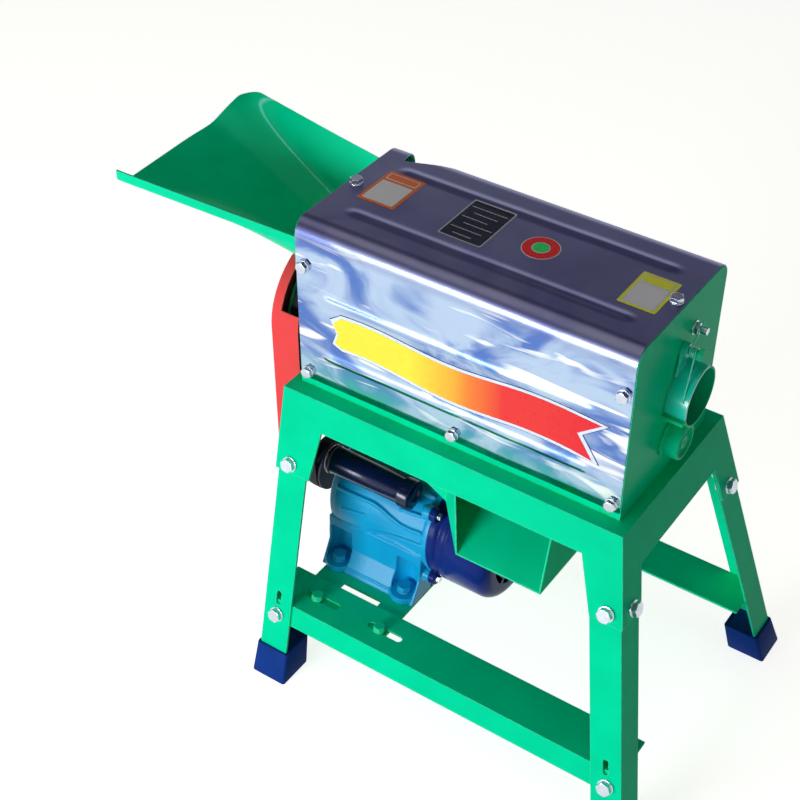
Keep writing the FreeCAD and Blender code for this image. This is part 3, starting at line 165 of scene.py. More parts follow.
def makeStudio(look):
    for lamp in look["lamps"]:
        makeLamp(*lamp)
    bpy.ops.mesh.primitive_plane_add(size=look["floorSize"], location=(0, 0, 0))
    floor = bpy.context.object
    floor.name = "floor"
    paper = bpy.data.materials.new("studioPaper")  # matt paper sweep: even and pale, it keeps the shadow
    paper.use_nodes = True
    glow = addNode(paper, "Math", {0: seenDirectly(paper), 1: look["floorGlow"]}, operation="MULTIPLY")
    feed(paper.node_tree.nodes["Principled BSDF"], {
        "Base Color": hexColour(look["floor"]), "Roughness": look["floorRoughness"],
        "Emission Color": hexColour(look["floor"]), "Emission Strength": glow})
    floor.data.materials.append(paper)

    world = bpy.data.worlds.new("studioWorld")
    bpy.context.scene.world = world
    world.use_nodes = True
    axes = addNode(world, "SeparateXYZ", {"Vector": addNode(world, "TexCoord").outputs["Generated"]})
    rise = addNode(world, "MapRange", {
        "Value": axes.outputs["Z"], "From Min": look["whiteUpTo"], "From Max": look["darkFrom"]},
        interpolation_type="SMOOTHSTEP")
    sky = addNode(world, "Mix", {
        "Factor": rise, "A": hexColour(look["horizon"]), "B": hexColour(look["zenith"])}, data_type="RGBA")
    power = addNode(world, "MapRange", {"Value": seenDirectly(world), "To Min": look["fill"]})
    feed(world.node_tree.nodes["Background"], {"Color": sky, "Strength": power})
    bpy.context.scene.view_settings.view_transform = "Standard"


makeStudio(studio)
print("studio ready")


def newFinish(name):
    # a material, its shader, and the place on the object that its patterns follow
    material = bpy.data.materials.new(name)
    material.use_nodes = True
    place = addNode(material, "TexCoord").outputs["Object"]
    return material, material.node_tree.nodes["Principled BSDF"], place


def clouded(material, place, look, detail=2.0):
    # soft patches, and the tone that runs with them from a finish's deep colour to its bright one
    patches = addNode(material, "TexNoise", {
        "Vector": place, "Scale": perMetre(look["patch"]), "Detail": detail})
    tone = addNode(material, "Mix", {
        "Factor": patches, "A": hexColour(look["deep"]), "B": hexColour(look["bright"])}, data_type="RGBA")
    return patches, tone


def drawnNoise(material, place, scale, tilt=0, detail=3.0, swirl=0.0):
    # noise stretched along each axis by its own scale and tilted about Y, in degrees
    spread = addNode(material, "Mapping", {
        "Vector": place, "Rotation": (0, math.radians(tilt), 0), "Scale": scale})
    return addNode(material, "TexNoise", {
        "Vector": spread, "Scale": 1.0, "Detail": detail, "Distortion": swirl})


def skinOver(material, pattern, look, reach):
    # edges rounded a little, and a fine pattern raised over the surface by a reach in mm
    edge = addNode(material, "Bevel", {"Radius": look["edgeRadius"] / 1000}, samples=4)
    bump = addNode(material, "Bump", {
        "Height": pattern, "Strength": look["depth"], "Distance": reach / 1000, "Normal": edge})
    return edge, bump


def coated(material, shader, colour, skin, pattern, duller, look):
    # a paint's or plastic's surface, whose gloss varies with a pattern
    gloss = addNode(material, "MapRange", {
        "Value": pattern, "To Min": look["roughness"] - 0.05, "To Max": look["roughness"] + duller})
    feed(shader, {"Base Color": colour, "Roughness": gloss, "Normal": skin, "IOR": 1.5,
                  "Specular IOR Level": look["shine"]})
    return material


def enamel(name, look):
    # sprayed enamel on sheet or cast metal: a fine orange peel, a tone that is a little uneven over a
    # hand's width, and a paler tone along the rounded edges that is partly worn, thinner paint and partly a
    # painted highlight; on the hopper also a painted highlight along its fold
    material, shader, place = newFinish(name)
    patches, colour = clouded(material, place, look)
    peel = addNode(material, "TexNoise", {"Vector": place, "Scale": perMetre(look["peel"]), "Detail": 1.0})
    edge, skin = skinOver(material, peel, look, look["peelReach"])
    flat = addNode(material, "NewGeometry").outputs["Normal"]
    bend = addNode(material, "VectorMath", {0: edge, 1: flat}, operation="DOT_PRODUCT")
    # the rounded edges are painted paler in the edge colour, broken by a grain: partly worn paint, partly a
    # painted highlight along them
    near = addNode(material, "MapRange", {
        "Value": bend, "From Min": look["bendFrom"], "From Max": look["bendFull"]})
    grain = addNode(material, "TexNoise", {"Vector": place, "Scale": perMetre(look["rub"]), "Detail": 4.0})
    rubbedAndSheen = addNode(material, "MapRange", {
        "Value": grain, "From Min": look["rubFrom"], "From Max": look["rubFull"], "To Max": look["wearAndSheen"]})
    pale = [addNode(material, "Math", {0: near, 1: rubbedAndSheen}, operation="MULTIPLY")]
    if "glint" in look:
        # a painted highlight: a pale streak in the edge colour where the surface leans at a set slope,
        # standing in for the one long highlight that a tight fold along the machine keeps, whatever light
        # stands above it
        lean, width, strength = look["glint"]
        parts = addNode(material, "SeparateXYZ", {"Vector": flat}).outputs
        slope = addNode(material, "Math", {0: parts["Y"], 1: parts["Z"]}, operation="DIVIDE")
        away = addNode(material, "Math", {0: slope, 1: -lean}, operation="ADD")
        away = addNode(material, "Math", {0: away}, operation="ABSOLUTE")
        core = addNode(material, "MapRange", {
            "Value": away, "From Max": width, "To Min": strength, "To Max": 0.0})
        above = addNode(material, "Math", {0: parts["Z"], 1: 0.0}, operation="GREATER_THAN")
        pale.append(addNode(material, "Math", {0: core, 1: above}, operation="MULTIPLY"))
    for share in pale:
        colour = addNode(material, "Mix", {
            "Factor": share, "A": colour, "B": hexColour(look["edge"])}, data_type="RGBA")
    return coated(material, shader, colour, skin, patches, 0.07, look)


def brightSteel(name, look):
    # rolled or turned steel: mirror-like or satin, with faint streaks along one axis and a slight tint
    material, shader, place = newFinish(name)
    patches, colour = clouded(material, place, look)
    lines = drawnNoise(material, place, look["streaks"])
    edge, skin = skinOver(material, lines, look, 0.1)
    gloss = addNode(material, "MapRange", {
        "Value": lines, "To Min": look["roughness"] * 0.6, "To Max": look["roughness"] * 1.5})
    feed(shader, {"Base Color": colour, "Roughness": gloss, "Normal": skin, "Metallic": 1.0})
    return material


def mirrorSheet(name, look):
    # bright annealed stainless, with its reflections painted into its colour: blue-grey clouds and pale
    # streaks of painted reflection, calmer and darker on top as a painted reflection of the sky, and a
    # painted reflection of the green deck along its foot
    material, shader, place = newFinish(name)
    axes = addNode(material, "SeparateXYZ", {"Vector": place}).outputs
    clouds, streakNoise, grain = (drawnNoise(material, place, [perMetre(span) for span in spans], *rest)
                            for spans, *rest in look["patterns"])
    # the back wall gets less of the painted reflection clouds and streaks than the front, where they stand in
    # for the mirrored workshop
    facing = addNode(material, "MapRange", {
        "Value": axes["Y"], "From Min": look["backFrom"] / 1000, "From Max": look["backFull"] / 1000,
        "To Min": 1.0, "To Max": look["backShare"]})
    cloudy = addNode(material, "MapRange", {
        "Value": clouds, "From Min": look["cloudFrom"], "From Max": look["cloudFull"]},
        interpolation_type="SMOOTHSTEP")
    dark = addNode(material, "Math", {0: cloudy, 1: facing}, operation="MULTIPLY")
    side = addNode(material, "MapRange", {
        "Value": axes["Z"], "From Min": look["calmFull"] / 1000, "From Max": look["calmFrom"] / 1000})
    streak = addNode(material, "MapRange", {
        "Value": streakNoise, "From Min": look["streakFrom"], "From Max": look["streakFull"],
        "To Max": look["streakShare"]})
    for share in (side, facing):
        streak = addNode(material, "Math", {0: streak, 1: share}, operation="MULTIPLY")
    # the top is painted calm and darker purple-grey, a painted reflection of the sky above it
    calm = addNode(material, "Math", {0: 1.0, 1: side}, operation="SUBTRACT")
    calm = addNode(material, "Math", {0: calm, 1: look["calm"]}, operation="MULTIPLY")
    # a painted reflection of the green deck along the hood's foot, patchy with the clouds
    low = addNode(material, "MapRange", {
        "Value": axes["Z"], "From Min": look["castTop"] / 1000, "From Max": look["castFull"] / 1000})
    patchy = addNode(material, "MapRange", {
        "Value": clouds, "From Min": look["castCloud"], "From Max": look["castClear"],
        "To Min": 1.0, "To Max": look["castShare"]})
    deckReflection = addNode(material, "Math", {0: low, 1: patchy}, operation="MULTIPLY")
    # the painted reflections are mixed into the steel's colour one after another: dark clouds, white
    # highlight streaks, the darker top and the deck's green along the foot
    colour = hexColour(look["bright"])
    for share, tone in ((dark, "deep"), (streak, "flash"), (calm, "top"), (deckReflection, "deckReflection")):
        colour = addNode(material, "Mix", {
            "Factor": share, "A": colour, "B": hexColour(look[tone])}, data_type="RGBA")
    gloss = addNode(material, "MapRange", {
        "Value": grain, "To Min": look["roughness"] * 0.6, "To Max": look["roughness"] * 1.5})
    handled = addNode(material, "Math", {0: calm, 1: look["topRoughness"]}, operation="MULTIPLY")
    dull = addNode(material, "Math", {0: gloss, 1: handled}, operation="MAXIMUM")
    edge, skin = skinOver(material, grain, look, 0.1)
    feed(shader, {"Base Color": colour, "Roughness": dull, "Normal": skin, "Metallic": 1.0})
    return material


def moulded(name, look):
    # moulded rubber or plastic: dull or glossy skin with a fine texture and slightly uneven colour
    material, shader, place = newFinish(name)
    patches, colour = clouded(material, place, look, 3.0)
    pores = addNode(material, "TexNoise", {"Vector": place, "Scale": perMetre(look["grain"]), "Detail": 2.0})
    edge, skin = skinOver(material, pores, look, 0.3)
    return coated(material, shader, colour, skin, pores, 0.08, look)


# sizes in mm; every paint starts from the green one; its edge colour is laid on the rounded edges as worn
# paint and, partly, as a painted highlight
paintGreen = {"deep": "#00D096", "bright": "#00ECAC", "edge": "#B8FFE4", "patch": 60, "edgeRadius": 1.2,
              "wearAndSheen": 0.5, "bendFrom": 0.99, "bendFull": 0.86, "rub": 6, "rubFrom": 0.3, "rubFull": 0.62,
              "peel": 2.4, "peelReach": 0.4, "depth": 0.12, "roughness": 0.3, "shine": 0.02}
paintGate = {**paintGreen, "deep": "#00DCC0", "bright": "#1CF0D8", "edge": "#40F0D8", "roughness": 0.14,
             "shine": 1.0}
# the hopper's glint (slope, width, strength) is a painted highlight along its fold, in its edge colour
paintHopper = {**paintGreen, "roughness": 0.14, "shine": 0.05, "depth": 0.06, "glint": (-0.56, 0.06, 0.85),
               "edge": "#8CFFF0"}
paintCollar = {**paintGreen, "edgeRadius": 0.5, "wearAndSheen": 0.1}
paintWire = {**paintGate, "edgeRadius": 0.2}
ironDark = {"deep": "#10142A", "bright": "#1C2238", "patch": 9, "edgeRadius": 0.6, "grain": 1.5,
            "depth": 0.6, "roughness": 0.5, "shine": 0.3}
paintRed = {**paintGreen, "deep": "#EE4848", "bright": "#FA5454", "edge": "#FFC0B4"}
paintTeal = {**paintGreen, "deep": "#0A94C8", "bright": "#0CB0E6", "edge": "#7CDCF4", "peel": 1.6,
             "depth": 0.35, "wearAndSheen": 0.3, "shine": 0.25}
paintNavy = {**paintGreen, "deep": "#10226A", "bright": "#183486", "edge": "#4C6CB4",
             "roughness": 0.2, "wearAndSheen": 0.3, "shine": 0.06}
paintPulley = {**paintGreen, "deep": "#0C9A74", "bright": "#12B48A", "peel": 1.4, "depth": 0.3}
# the hood's colours are painted reflection: deep clouds over the bright steel, white flash streaks as painted
# highlights, a purple-grey top and the deck's green along the foot
steelHood = {"deep": "#5878BE", "bright": "#B2C6E2", "flash": "#FFFFFF", "top": "#6E6C94", "deckReflection": "#38B494",
             # painted reflection clouds, painted highlight streaks and rolled grain: spans in mm, tilt,
             # detail and swirl
             "patterns": [((120, 120, 55), 18, 3.0, 1.4), ((150, 150, 22), -12, 2.0, 1.4),
                          ((170, 1.1, 1.1), 0, 3.0, 0.0)],
             # where the noise turns into painted reflection clouds and highlight streaks, and how strongly
             "cloudFrom": 0.62, "cloudFull": 0.36, "streakFrom": 0.58, "streakFull": 0.66, "streakShare": 0.9,
             # y in mm over which the painted reflection clouds fade to a share on the back wall
             "backFrom": -50, "backFull": 80, "backShare": 0.35,
             # z in mm over which the top turns calm and darker, a painted reflection of the sky, and over
             # which the painted reflection of the deck's green comes in
             "calmFrom": 602, "calmFull": 622, "calm": 0.9, "topRoughness": 0.38,
             "castTop": 462, "castFull": 424, "castCloud": 0.3, "castClear": 0.55, "castShare": 0.35,
             "roughness": 0.09, "depth": 0.05, "edgeRadius": 0.8}
steelZinc = {"deep": "#B7BECC", "bright": "#D6DCE6", "streaks": (300, 300, 300), "patch": 6,
             "roughness": 0.22, "depth": 0.2, "edgeRadius": 0.5}
steelTurned = {"deep": "#9A9CA2", "bright": "#B4B6BC", "streaks": (900, 30, 30), "patch": 20,
               "roughness": 0.2, "depth": 0.3, "edgeRadius": 0.4}
steelSpring = {**steelZinc, "deep": "#A2A6AE", "bright": "#C0C4CC", "edgeRadius": 0.1}
castDrum = {**steelTurned, "deep": "#5E6066", "bright": "#7C7E84", "streaks": (400, 400, 400),
            "roughness": 0.42, "depth": 0.9, "patch": 12}
rubberBoot = {"deep": "#12327A", "bright": "#184296", "patch": 30, "edgeRadius": 1.5, "grain": 1.2,
              "depth": 0.3, "roughness": 0.5, "shine": 0.03}
rubberBelt = {"deep": "#0C0C0E", "bright": "#1A1A1C", "patch": 9, "edgeRadius": 0.6, "grain": 0.9,
              "depth": 0.6, "roughness": 0.7, "shine": 0.3}
plasticCan = {"deep": "#060C30", "bright": "#0C1848", "patch": 40, "edgeRadius": 1.0, "grain": 1.5,
              "depth": 0.08, "roughness": 0.16, "shine": 0.4}
plasticBlack = {"deep": "#0E0E10", "bright": "#1A1A1D", "patch": 15, "edgeRadius": 0.8, "grain": 0.8,
                "depth": 0.25, "roughness": 0.45, "shine": 0.3}

finishes = {
    "hood_steel": mirrorSheet("brightAnnealedStainless", steelHood),
    "green_paint": enamel("greenEnamel", paintGreen),
    "red_paint": enamel("redEnamel", paintRed),
    "rubber": moulded("mouldedRubber", rubberBoot),
    "zinc": brightSteel("zincPlate", steelZinc),
    "motor_paint": enamel("tealCastPaint", paintTeal),
    "motor_navy": enamel("navyEnamel", paintNavy),
    "capacitor_can": moulded("glossPlasticCan", plasticCan),
    "gland_plastic": moulded("blackNylon", plasticBlack),
    "bare_steel": brightSteel("turnedSteel", steelTurned),
    "cast_drum": brightSteel("wornCastIron", castDrum),
    "pulley_paint": enamel("pulleyEnamel", paintPulley),
    "belt_rubber": moulded("beltRubber", rubberBelt),
    "spring_steel": brightSteel("springWire", steelSpring),
    "fan_plastic": moulded("fanPlastic", plasticBlack),
}
slotOfNode = {row["node"]: row["material_slot"] for row in frame["record"]["subparts"]}
# pieces whose paint differs from the rest of their slot
ownFinish = {
    "cob_gate": enamel("gateEnamel", paintGate),
    "feed_hopper": enamel("hopperEnamel", paintHopper),
    "outlet_collar": enamel("collarEnamel", paintCollar),
    "gate_spring": enamel("paintedWire", paintWire),
    "motor_pulley": moulded("oiledIron", ironDark),
}
for nodeName, nodeObject in nodes.items():
    look = ownFinish.get(nodeName, finishes[slotOfNode[nodeName]])
    if not nodeObject.material_slots:
        nodeObject.data.materials.append(look)
    for materialSlot in nodeObject.material_slots:
        materialSlot.material = look
print("finishes on the frame's own parts")


def selectOnly(obj):
    if bpy.context.object and bpy.context.object.mode != "OBJECT":
        bpy.ops.object.mode_set(mode="OBJECT")
    bpy.ops.object.select_all(action="DESELECT")
    bpy.context.view_layer.objects.active = obj
    obj.select_set(True)


def startEdit(obj, kind="FACE", mark="DESELECT"):
    selectOnly(obj)
    bpy.ops.object.mode_set(mode="EDIT")
    bpy.ops.mesh.select_mode(type=kind)
    bpy.ops.mesh.select_all(action=mark)


def endEdit():
    bpy.ops.object.mode_set(mode="OBJECT")


def pick(obj, test, kind="FACE"):
    # selects, in edit mode, the faces, edges or vertices that pass a test
    bpy.ops.mesh.select_mode(type=kind)
    bpy.ops.mesh.select_all(action="DESELECT")
    mesh = bmesh.from_edit_mesh(obj.data)
    if kind == "FACE":
        for face in mesh.faces:
            face.select_set(test(face.calc_center_median(), face.normal))
    elif kind == "EDGE":
        for edge in mesh.edges:
            a, b = edge.verts[0].co, edge.verts[1].co
            edge.select_set(test((a + b) / 2, (b - a).normalized()))
    else:
        for vertex in mesh.verts:
            vertex.select_set(test(vertex.co, vertex.normal))
    mesh.select_flush_mode()
    bmesh.update_edit_mesh(obj.data)


def shift(obj, test, move, reach=0):
    # moves, in edit mode, the points that pass a test by a vector in mm, with a smooth fall over a reach
    pick(obj, test, "VERT")
    bpy.ops.transform.translate(value=Vector(move) / 1000, use_proportional_edit=reach > 0,
                                proportional_edit_falloff="SMOOTH", proportional_size=max(reach, 1) / 1000)


def applyModifier(obj, kind, **settings):
    selectOnly(obj)
    modifier = obj.modifiers.new(kind.lower(), kind)
    for key, value in settings.items():
        setattr(modifier, key, value)
    bpy.ops.object.modifier_apply(modifier=modifier.name)


def cutAway(obj, cutters, operation="DIFFERENCE"):
    for cutter in cutters:
        applyModifier(obj, "BOOLEAN", operation=operation, object=cutter, solver="EXACT")
        bpy.data.objects.remove(cutter)


def placeInMesh(obj):
    selectOnly(obj)
    bpy.ops.object.transform_apply(location=True, rotation=True, scale=True)


def finishPiece(obj, name, body, slot=None, hides=(), material=None, sharp=35):
    # names a piece, puts its place into its mesh and ties it to its body
    placeInMesh(obj)
    obj.name = obj.data.name = name
    if material is not False:
        obj.data.materials.clear()
        obj.data.materials.append(material or finishes[slot])
    bpy.ops.object.shade_smooth_by_angle(angle=math.radians(sharp))
    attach(obj, body)
    if hides:
        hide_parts(*hides)
    return obj


def joined(first, others):
    selectOnly(first)
    for obj in others:
        obj.select_set(True)
    bpy.ops.object.join()
    return first


def block(low, high):
    # a box between two opposite corners in mm
    bpy.ops.mesh.primitive_cube_add(size=1, location=mm(*((a + b) / 2 for a, b in zip(low, high))))
    obj = bpy.context.object
    obj.scale = [abs(b - a) / 1000 for a, b in zip(low, high)]
    placeInMesh(obj)
    return obj


def upright(radius, low, high, x, y, sides=32):
    # a cylinder standing between two heights in mm
    bpy.ops.mesh.primitive_cylinder_add(vertices=sides, radius=radius / 1000, depth=(high - low) / 1000,
                                        location=mm(x, y, (low + high) / 2))
    obj = bpy.context.object
    placeInMesh(obj)
    return obj


def turnedPiece(profile, centre, steps=64):
    # spins an outline of (place along X, radius) in mm about the X axis through centre
    bpy.ops.mesh.primitive_plane_add(size=0.001, location=(0, 0, 0))
    obj = bpy.context.object
    startEdit(obj, "VERT", "SELECT")
    bpy.ops.mesh.merge(type="CENTER")
    points = [mm(x, centre[0], centre[1] + r) for x, r in profile]
    bpy.ops.transform.translate(value=points[0])
    for a, b in zip(points, points[1:]):
        bpy.ops.mesh.extrude_region_move(TRANSFORM_OT_translate={"value": b - a})
    bpy.ops.mesh.select_all(action="SELECT")
    bpy.ops.mesh.spin(steps=steps, angle=2 * math.pi, center=mm(0, *centre), axis=(1, 0, 0))
    bpy.ops.mesh.select_all(action="SELECT")
    bpy.ops.mesh.remove_doubles(threshold=0.00001)
    bpy.ops.mesh.normals_make_consistent(inside=False)
    endEdit()
    return obj


def curveMesh(kind, places, dimensions, cyclic=False, **settings):
    # a flat shape or a rod along a curve through some places, turned into a mesh
    data = bpy.data.curves.new("line", "CURVE")
    data.dimensions = dimensions
    for key, value in settings.items():
        setattr(data, key, value)
    line = data.splines.new(kind)
    line.points.add(len(places) - 1)
    for spot, place in zip(line.points, places):
        spot.co = (*place, 1)
    line.use_cyclic_u = cyclic
    line.use_endpoint_u = not cyclic
    line.order_u = 3
    obj = bpy.data.objects.new("line", data)
    bpy.context.scene.collection.objects.link(obj)
    selectOnly(obj)
    bpy.ops.object.convert(target="MESH")
    return bpy.context.object


# hood: one sheet of bright stainless bent over the drum, with beads pressed outwards
hood = {
    "length": 420, "width": 203, "height": 212, "foot": 418, "corner": 20, "sheet": 1.2,
    "sideCuts": 75, "topCuts": 64, "lengthCuts": 83,
    "beadLength": 340, "topRise": 1.5, "sideRise": 2.3, "beadReach": 9.5,
    "topBeads": 52, "sideBeads": (42, 122),
    # the sheet isn't quite flat: x, side (0 is the top), y or z of each shallow swell, and its rise
    "swells": [(-150, -1, 500, 0.5), (-40, -1, 560, -0.45), (60, -1, 430, 0.55), (150, -1, 505, -0.5),
               (-90, -1, 440, -0.4), (120, -1, 590, 0.4), (-160, 0, 10, 0.5), (-30, 0, -20, -0.5),
               (90, 0, 25, 0.5), (170, 0, -30, -0.4), (-110, 1, 520, 0.4), (80, 1, 470, -0.5)],
    "swellReach": 55,
    "notchStart": -194, "notchLength": 64, "notchDepth": 33, "notchSlope": 21, "notchSkew": 11,
    "notchDrop": 20,
}


def makeHood(size):
    top = size["foot"] + size["height"]
    side = size["width"] / 2
    end = size["length"] / 2
    obj = block((-end, -side, size["foot"]), (end, side, top))
    startEdit(obj)
    pick(obj, lambda c, n: n.z < -0.9 or abs(n.x) > 0.9)
    bpy.ops.mesh.delete(type="FACE")
    high = top / 1000 - 0.001
    pick(obj, lambda c, d: abs(d.x) > 0.9 and c.z > high, "EDGE")
    bpy.ops.mesh.bevel(offset=size["corner"] / 1000, segments=8, profile=0.5, affect="EDGES")
    pick(obj, lambda c, d: abs(d.z) > 0.9 and c.z < high - 0.03, "EDGE")
    bpy.ops.mesh.subdivide(number_cuts=size["sideCuts"])
    pick(obj, lambda c, d: abs(d.y) > 0.9 and abs(c.y) < 0.01 and c.z > high, "EDGE")
    bpy.ops.mesh.subdivide(number_cuts=size["topCuts"])
    pick(obj, lambda c, d: abs(d.x) > 0.9, "EDGE")
    bpy.ops.mesh.subdivide(number_cuts=size["lengthCuts"])
    # each bead is pulled out of the sheet along its middle line, with a smooth fall to both sides
    half = size["beadLength"] / 2000
    lines = []
    for y in (-size["topBeads"], size["topBeads"]):
        lines.append((mm(0, y, top), Vector((0, 0, 1)), "y", size["width"] - 2 * size["corner"],
                      size["topCuts"], size["topRise"]))
    for face in (-1, 1):
        for rise in size["sideBeads"]:
            lines.append((mm(0, face * side, size["foot"] + rise), Vector((0, face, 0)), "z",
                          size["height"] - size["corner"], size["sideCuts"], size["sideRise"]))
    for middle, out, across, span, cuts, lift in lines:
        step = span / (cuts + 1) / 1000

        def onLine(place, normal):
            away = abs(getattr(place, across) - getattr(middle, across))
            return (abs((place - middle).dot(out)) < 0.0004 and away < step * 0.51
                    and abs(place.x - midX) < half)

        shift(obj, onLine, out * lift, size["beadReach"])
    for x, face, across, depth in size["swells"]:
        spot = mm(x, face * side, across) if face else mm(x, across, top)
        out = Vector((0, face, 0 if face else 1))
        shift(obj, lambda place, normal: (place - spot).length < 0.004, out * depth, size["swellReach"])
    endEdit()
    applyModifier(obj, "SOLIDIFY", thickness=size["sheet"] / 1000, offset=-1, use_even_offset=True)
    # the relief at the back of the top, beside the hopper
    start, stop = size["notchStart"], size["notchStart"] + size["notchLength"]
    depth, drop = size["notchDepth"], size["notchDrop"]
    cutter = block((start, side - depth, top - drop), (stop, side + depth, top + drop))
    middle = mm((start + stop) / 2, side, top)
    startEdit(cutter)
    for isRight, move in ((True, (0, size["notchSlope"], 0)), (False, (size["notchSkew"], 0, 0))):
        shift(cutter, lambda place, normal: place.y < middle.y and (place.x > middle.x) == isRight, move)
    endEdit()
    cutAway(obj, [cutter])
    return finishPiece(obj, "hoodShell", "stand", "hood_steel", ["hood_cover"], sharp=50)


hoodShell = makeHood(hood)
print("hood made")


# gate spring: cut square across its coil, so that each end stays on its own body and the two halves of
# the coil turn against each other when the gate opens
def halfSpring(name, body, near, hides=()):
    obj = bpy.data.objects.new(name, nodes["gate_spring"].data.copy())
    bpy.context.scene.collection.objects.link(obj)
    reach = [corner.co.x for corner in obj.data.vertices]
    middle = (min(reach) + max(reach)) / 2
    startEdit(obj, mark="SELECT")
    bpy.ops.mesh.bisect(plane_co=(middle, 0, 0), plane_no=(1, 0, 0), use_fill=True,
                        clear_inner=not near, clear_outer=near)
    endEdit()
    return finishPiece(obj, name, body, "spring_steel", hides, ownFinish["gate_spring"])


halfSpring("springAnchorEnd", "stand", True, ["gate_spring"])
halfSpring("springGateEnd", "gate", False)
print("spring split between stand and gate")


def printedFilm(name, deep, bright, roughness, along=()):
    # screen-printed vinyl: even ink with a faint mottle and a clear gloss; it may run from one colour
    # over a second to a third along the machine
    material, shader, place = newFinish(name)
    mottle, ink = clouded(material, place, {"deep": deep, "bright": bright, "patch": 5}, 3.0)
    axes = addNode(material, "SeparateXYZ", {"Vector": place}).outputs
    for start, stop, colour in along:
        share = addNode(material, "MapRange", {
            "Value": axes["X"], "From Min": mm(start, 0, 0).x, "From Max": mm(stop, 0, 0).x})
        ink = addNode(material, "Mix", {"Factor": share, "A": ink, "B": hexColour(colour)}, data_type="RGBA")
    gloss = addNode(material, "MapRange", {
        "Value": mottle, "To Min": roughness - 0.05, "To Max": roughness + 0.08})
    feed(shader, {"Base Color": ink, "Roughness": gloss, "IOR": 1.5, "Specular IOR Level": 0.3})
    return material


# blank stickers and a plain plate on the hood; a layer is an outline and its ink
film = {"top": 630, "front": 101.5, "above": 0.16, "layer": 0.22, "thick": 0.06, "cell": 5, "stand": 4}
inks = {
    # deep and bright tone, roughness, and the colours it runs to between two places along the machine
    "white": ("#DCE8FF", "#ECF4FF", 0.3),
    "cream": ("#E8EAFF", "#F4F6FF", 0.3),
    "orange": ("#F0701E", "#FF8230", 0.3),
    "yellow": ("#F6FF34", "#FFFF54", 0.3),
    "black": ("#05112C", "#0A1838", 0.25),
    "pale": ("#B4BACC", "#CDD2E0", 0.25),
    "red": ("#FF2424", "#FF3434", 0.25),
    "green": ("#20F070", "#30FF80", 0.25),
    "navy": ("#141C5C", "#1C2670", 0.3),
    "sunset": ("#F6E62E", "#FFF24A", 0.28, [(-60, 20, "#FF9A2C"), (0, 62, "#F2302E"), (110, 175, "#F01C2C")]),
}
inks = {name: printedFilm(name + "Ink", *look) for name, look in inks.items()}


def roundedBox(left, right, low, high, radius, steps=5):
    # outline of a rectangle with round corners, in mm
    points = []
    corners = ((right - radius, low + radius), (right - radius, high - radius),
               (left + radius, high - radius), (left + radius, low + radius))
    for k, (u, v) in enumerate(corners):
        for i in range(steps + 1):
            a = math.radians(90 * (k - 1) + 90 * i / steps)
            points.append((u + radius * math.cos(a), v + radius * math.sin(a)))
    return points


# the ribbon on the hood's front: a waving pennant with a blunt nose and a swallow tail
ribbon = {"left": -150, "length": 300, "middle": 500, "wave": 4.0, "bends": 2.6, "phase": 0.8, "half": 21,
          "widening": 3.5, "steps": 40}


def pennant(margin):
    # outline of the ribbon, grown by a margin
    top, low = [], []
    for k in range(ribbon["steps"] + 1):
        share = k / ribbon["steps"]
        x = ribbon["left"] + ribbon["length"] * share
        y = ribbon["middle"] + ribbon["wave"] * math.sin(share * ribbon["bends"] * math.pi + ribbon["phase"])
        half = ribbon["half"] + ribbon["widening"] * share + margin
        top.append((x, y + half))
        low.append((x, y - half))
    nose = [(-159 - margin, 486 - margin * 0.6), (-154 - margin * 0.7, 500), (-161 - margin, 513 + margin)]
    tail = [(180 + margin * 2, 525 + margin * 0.6), (152 + margin * 1.6, 503),
            (172 + margin * 2, 474 - margin * 0.6)]
    return nose + top + tail + low[::-1]


def filmLayer(outline, face, level, ink):
    # a flat outline is cut into small faces, laid over the hood and pressed onto its skin
    places = [(u / 1000, v / 1000, 0) for u, v in outline]
    obj = curveMesh("POLY", places, "2D", cyclic=True, fill_mode="BOTH")
    startEdit(obj)
    for axis, normal in enumerate(((1, 0, 0), (0, 1, 0))):
        values = [point[axis] for point in outline]
        place = min(values) + film["cell"]
        while place < max(values) - 1:
            bpy.ops.mesh.select_all(action="SELECT")
            bpy.ops.mesh.bisect(plane_co=[n * place / 1000 for n in normal], plane_no=normal)
            place += film["cell"]
    endEdit()
    if obj.data.polygons[0].normal.z < 0:
        startEdit(obj, mark="SELECT")
        bpy.ops.mesh.flip_normals()
        endEdit()
    if face == "front":
        obj.rotation_euler.x = math.pi / 2
        obj.location = mm(0, -film["front"] - film["stand"], 0)
    else:
        obj.location = mm(0, 0, film["top"] + film["stand"])
    placeInMesh(obj)
    applyModifier(obj, "SHRINKWRAP", target=hoodShell, wrap_method="PROJECT", wrap_mode="ABOVE_SURFACE",
                  use_negative_direction=True, use_positive_direction=False,
                  offset=(film["above"] + level * film["layer"]) / 1000)
    applyModifier(obj, "SOLIDIFY", thickness=film["thick"] / 1000, offset=-1)
    obj.data.materials.clear()
    obj.data.materials.append(inks[ink])
    return obj


def makeSticker(name, layers, face="top", shape=roundedBox):
    made = [filmLayer(shape(*values), face, level, ink) for level, values, ink in layers]
    finishPiece(joined(made[0], made[1:]), name, "stand", material=False)


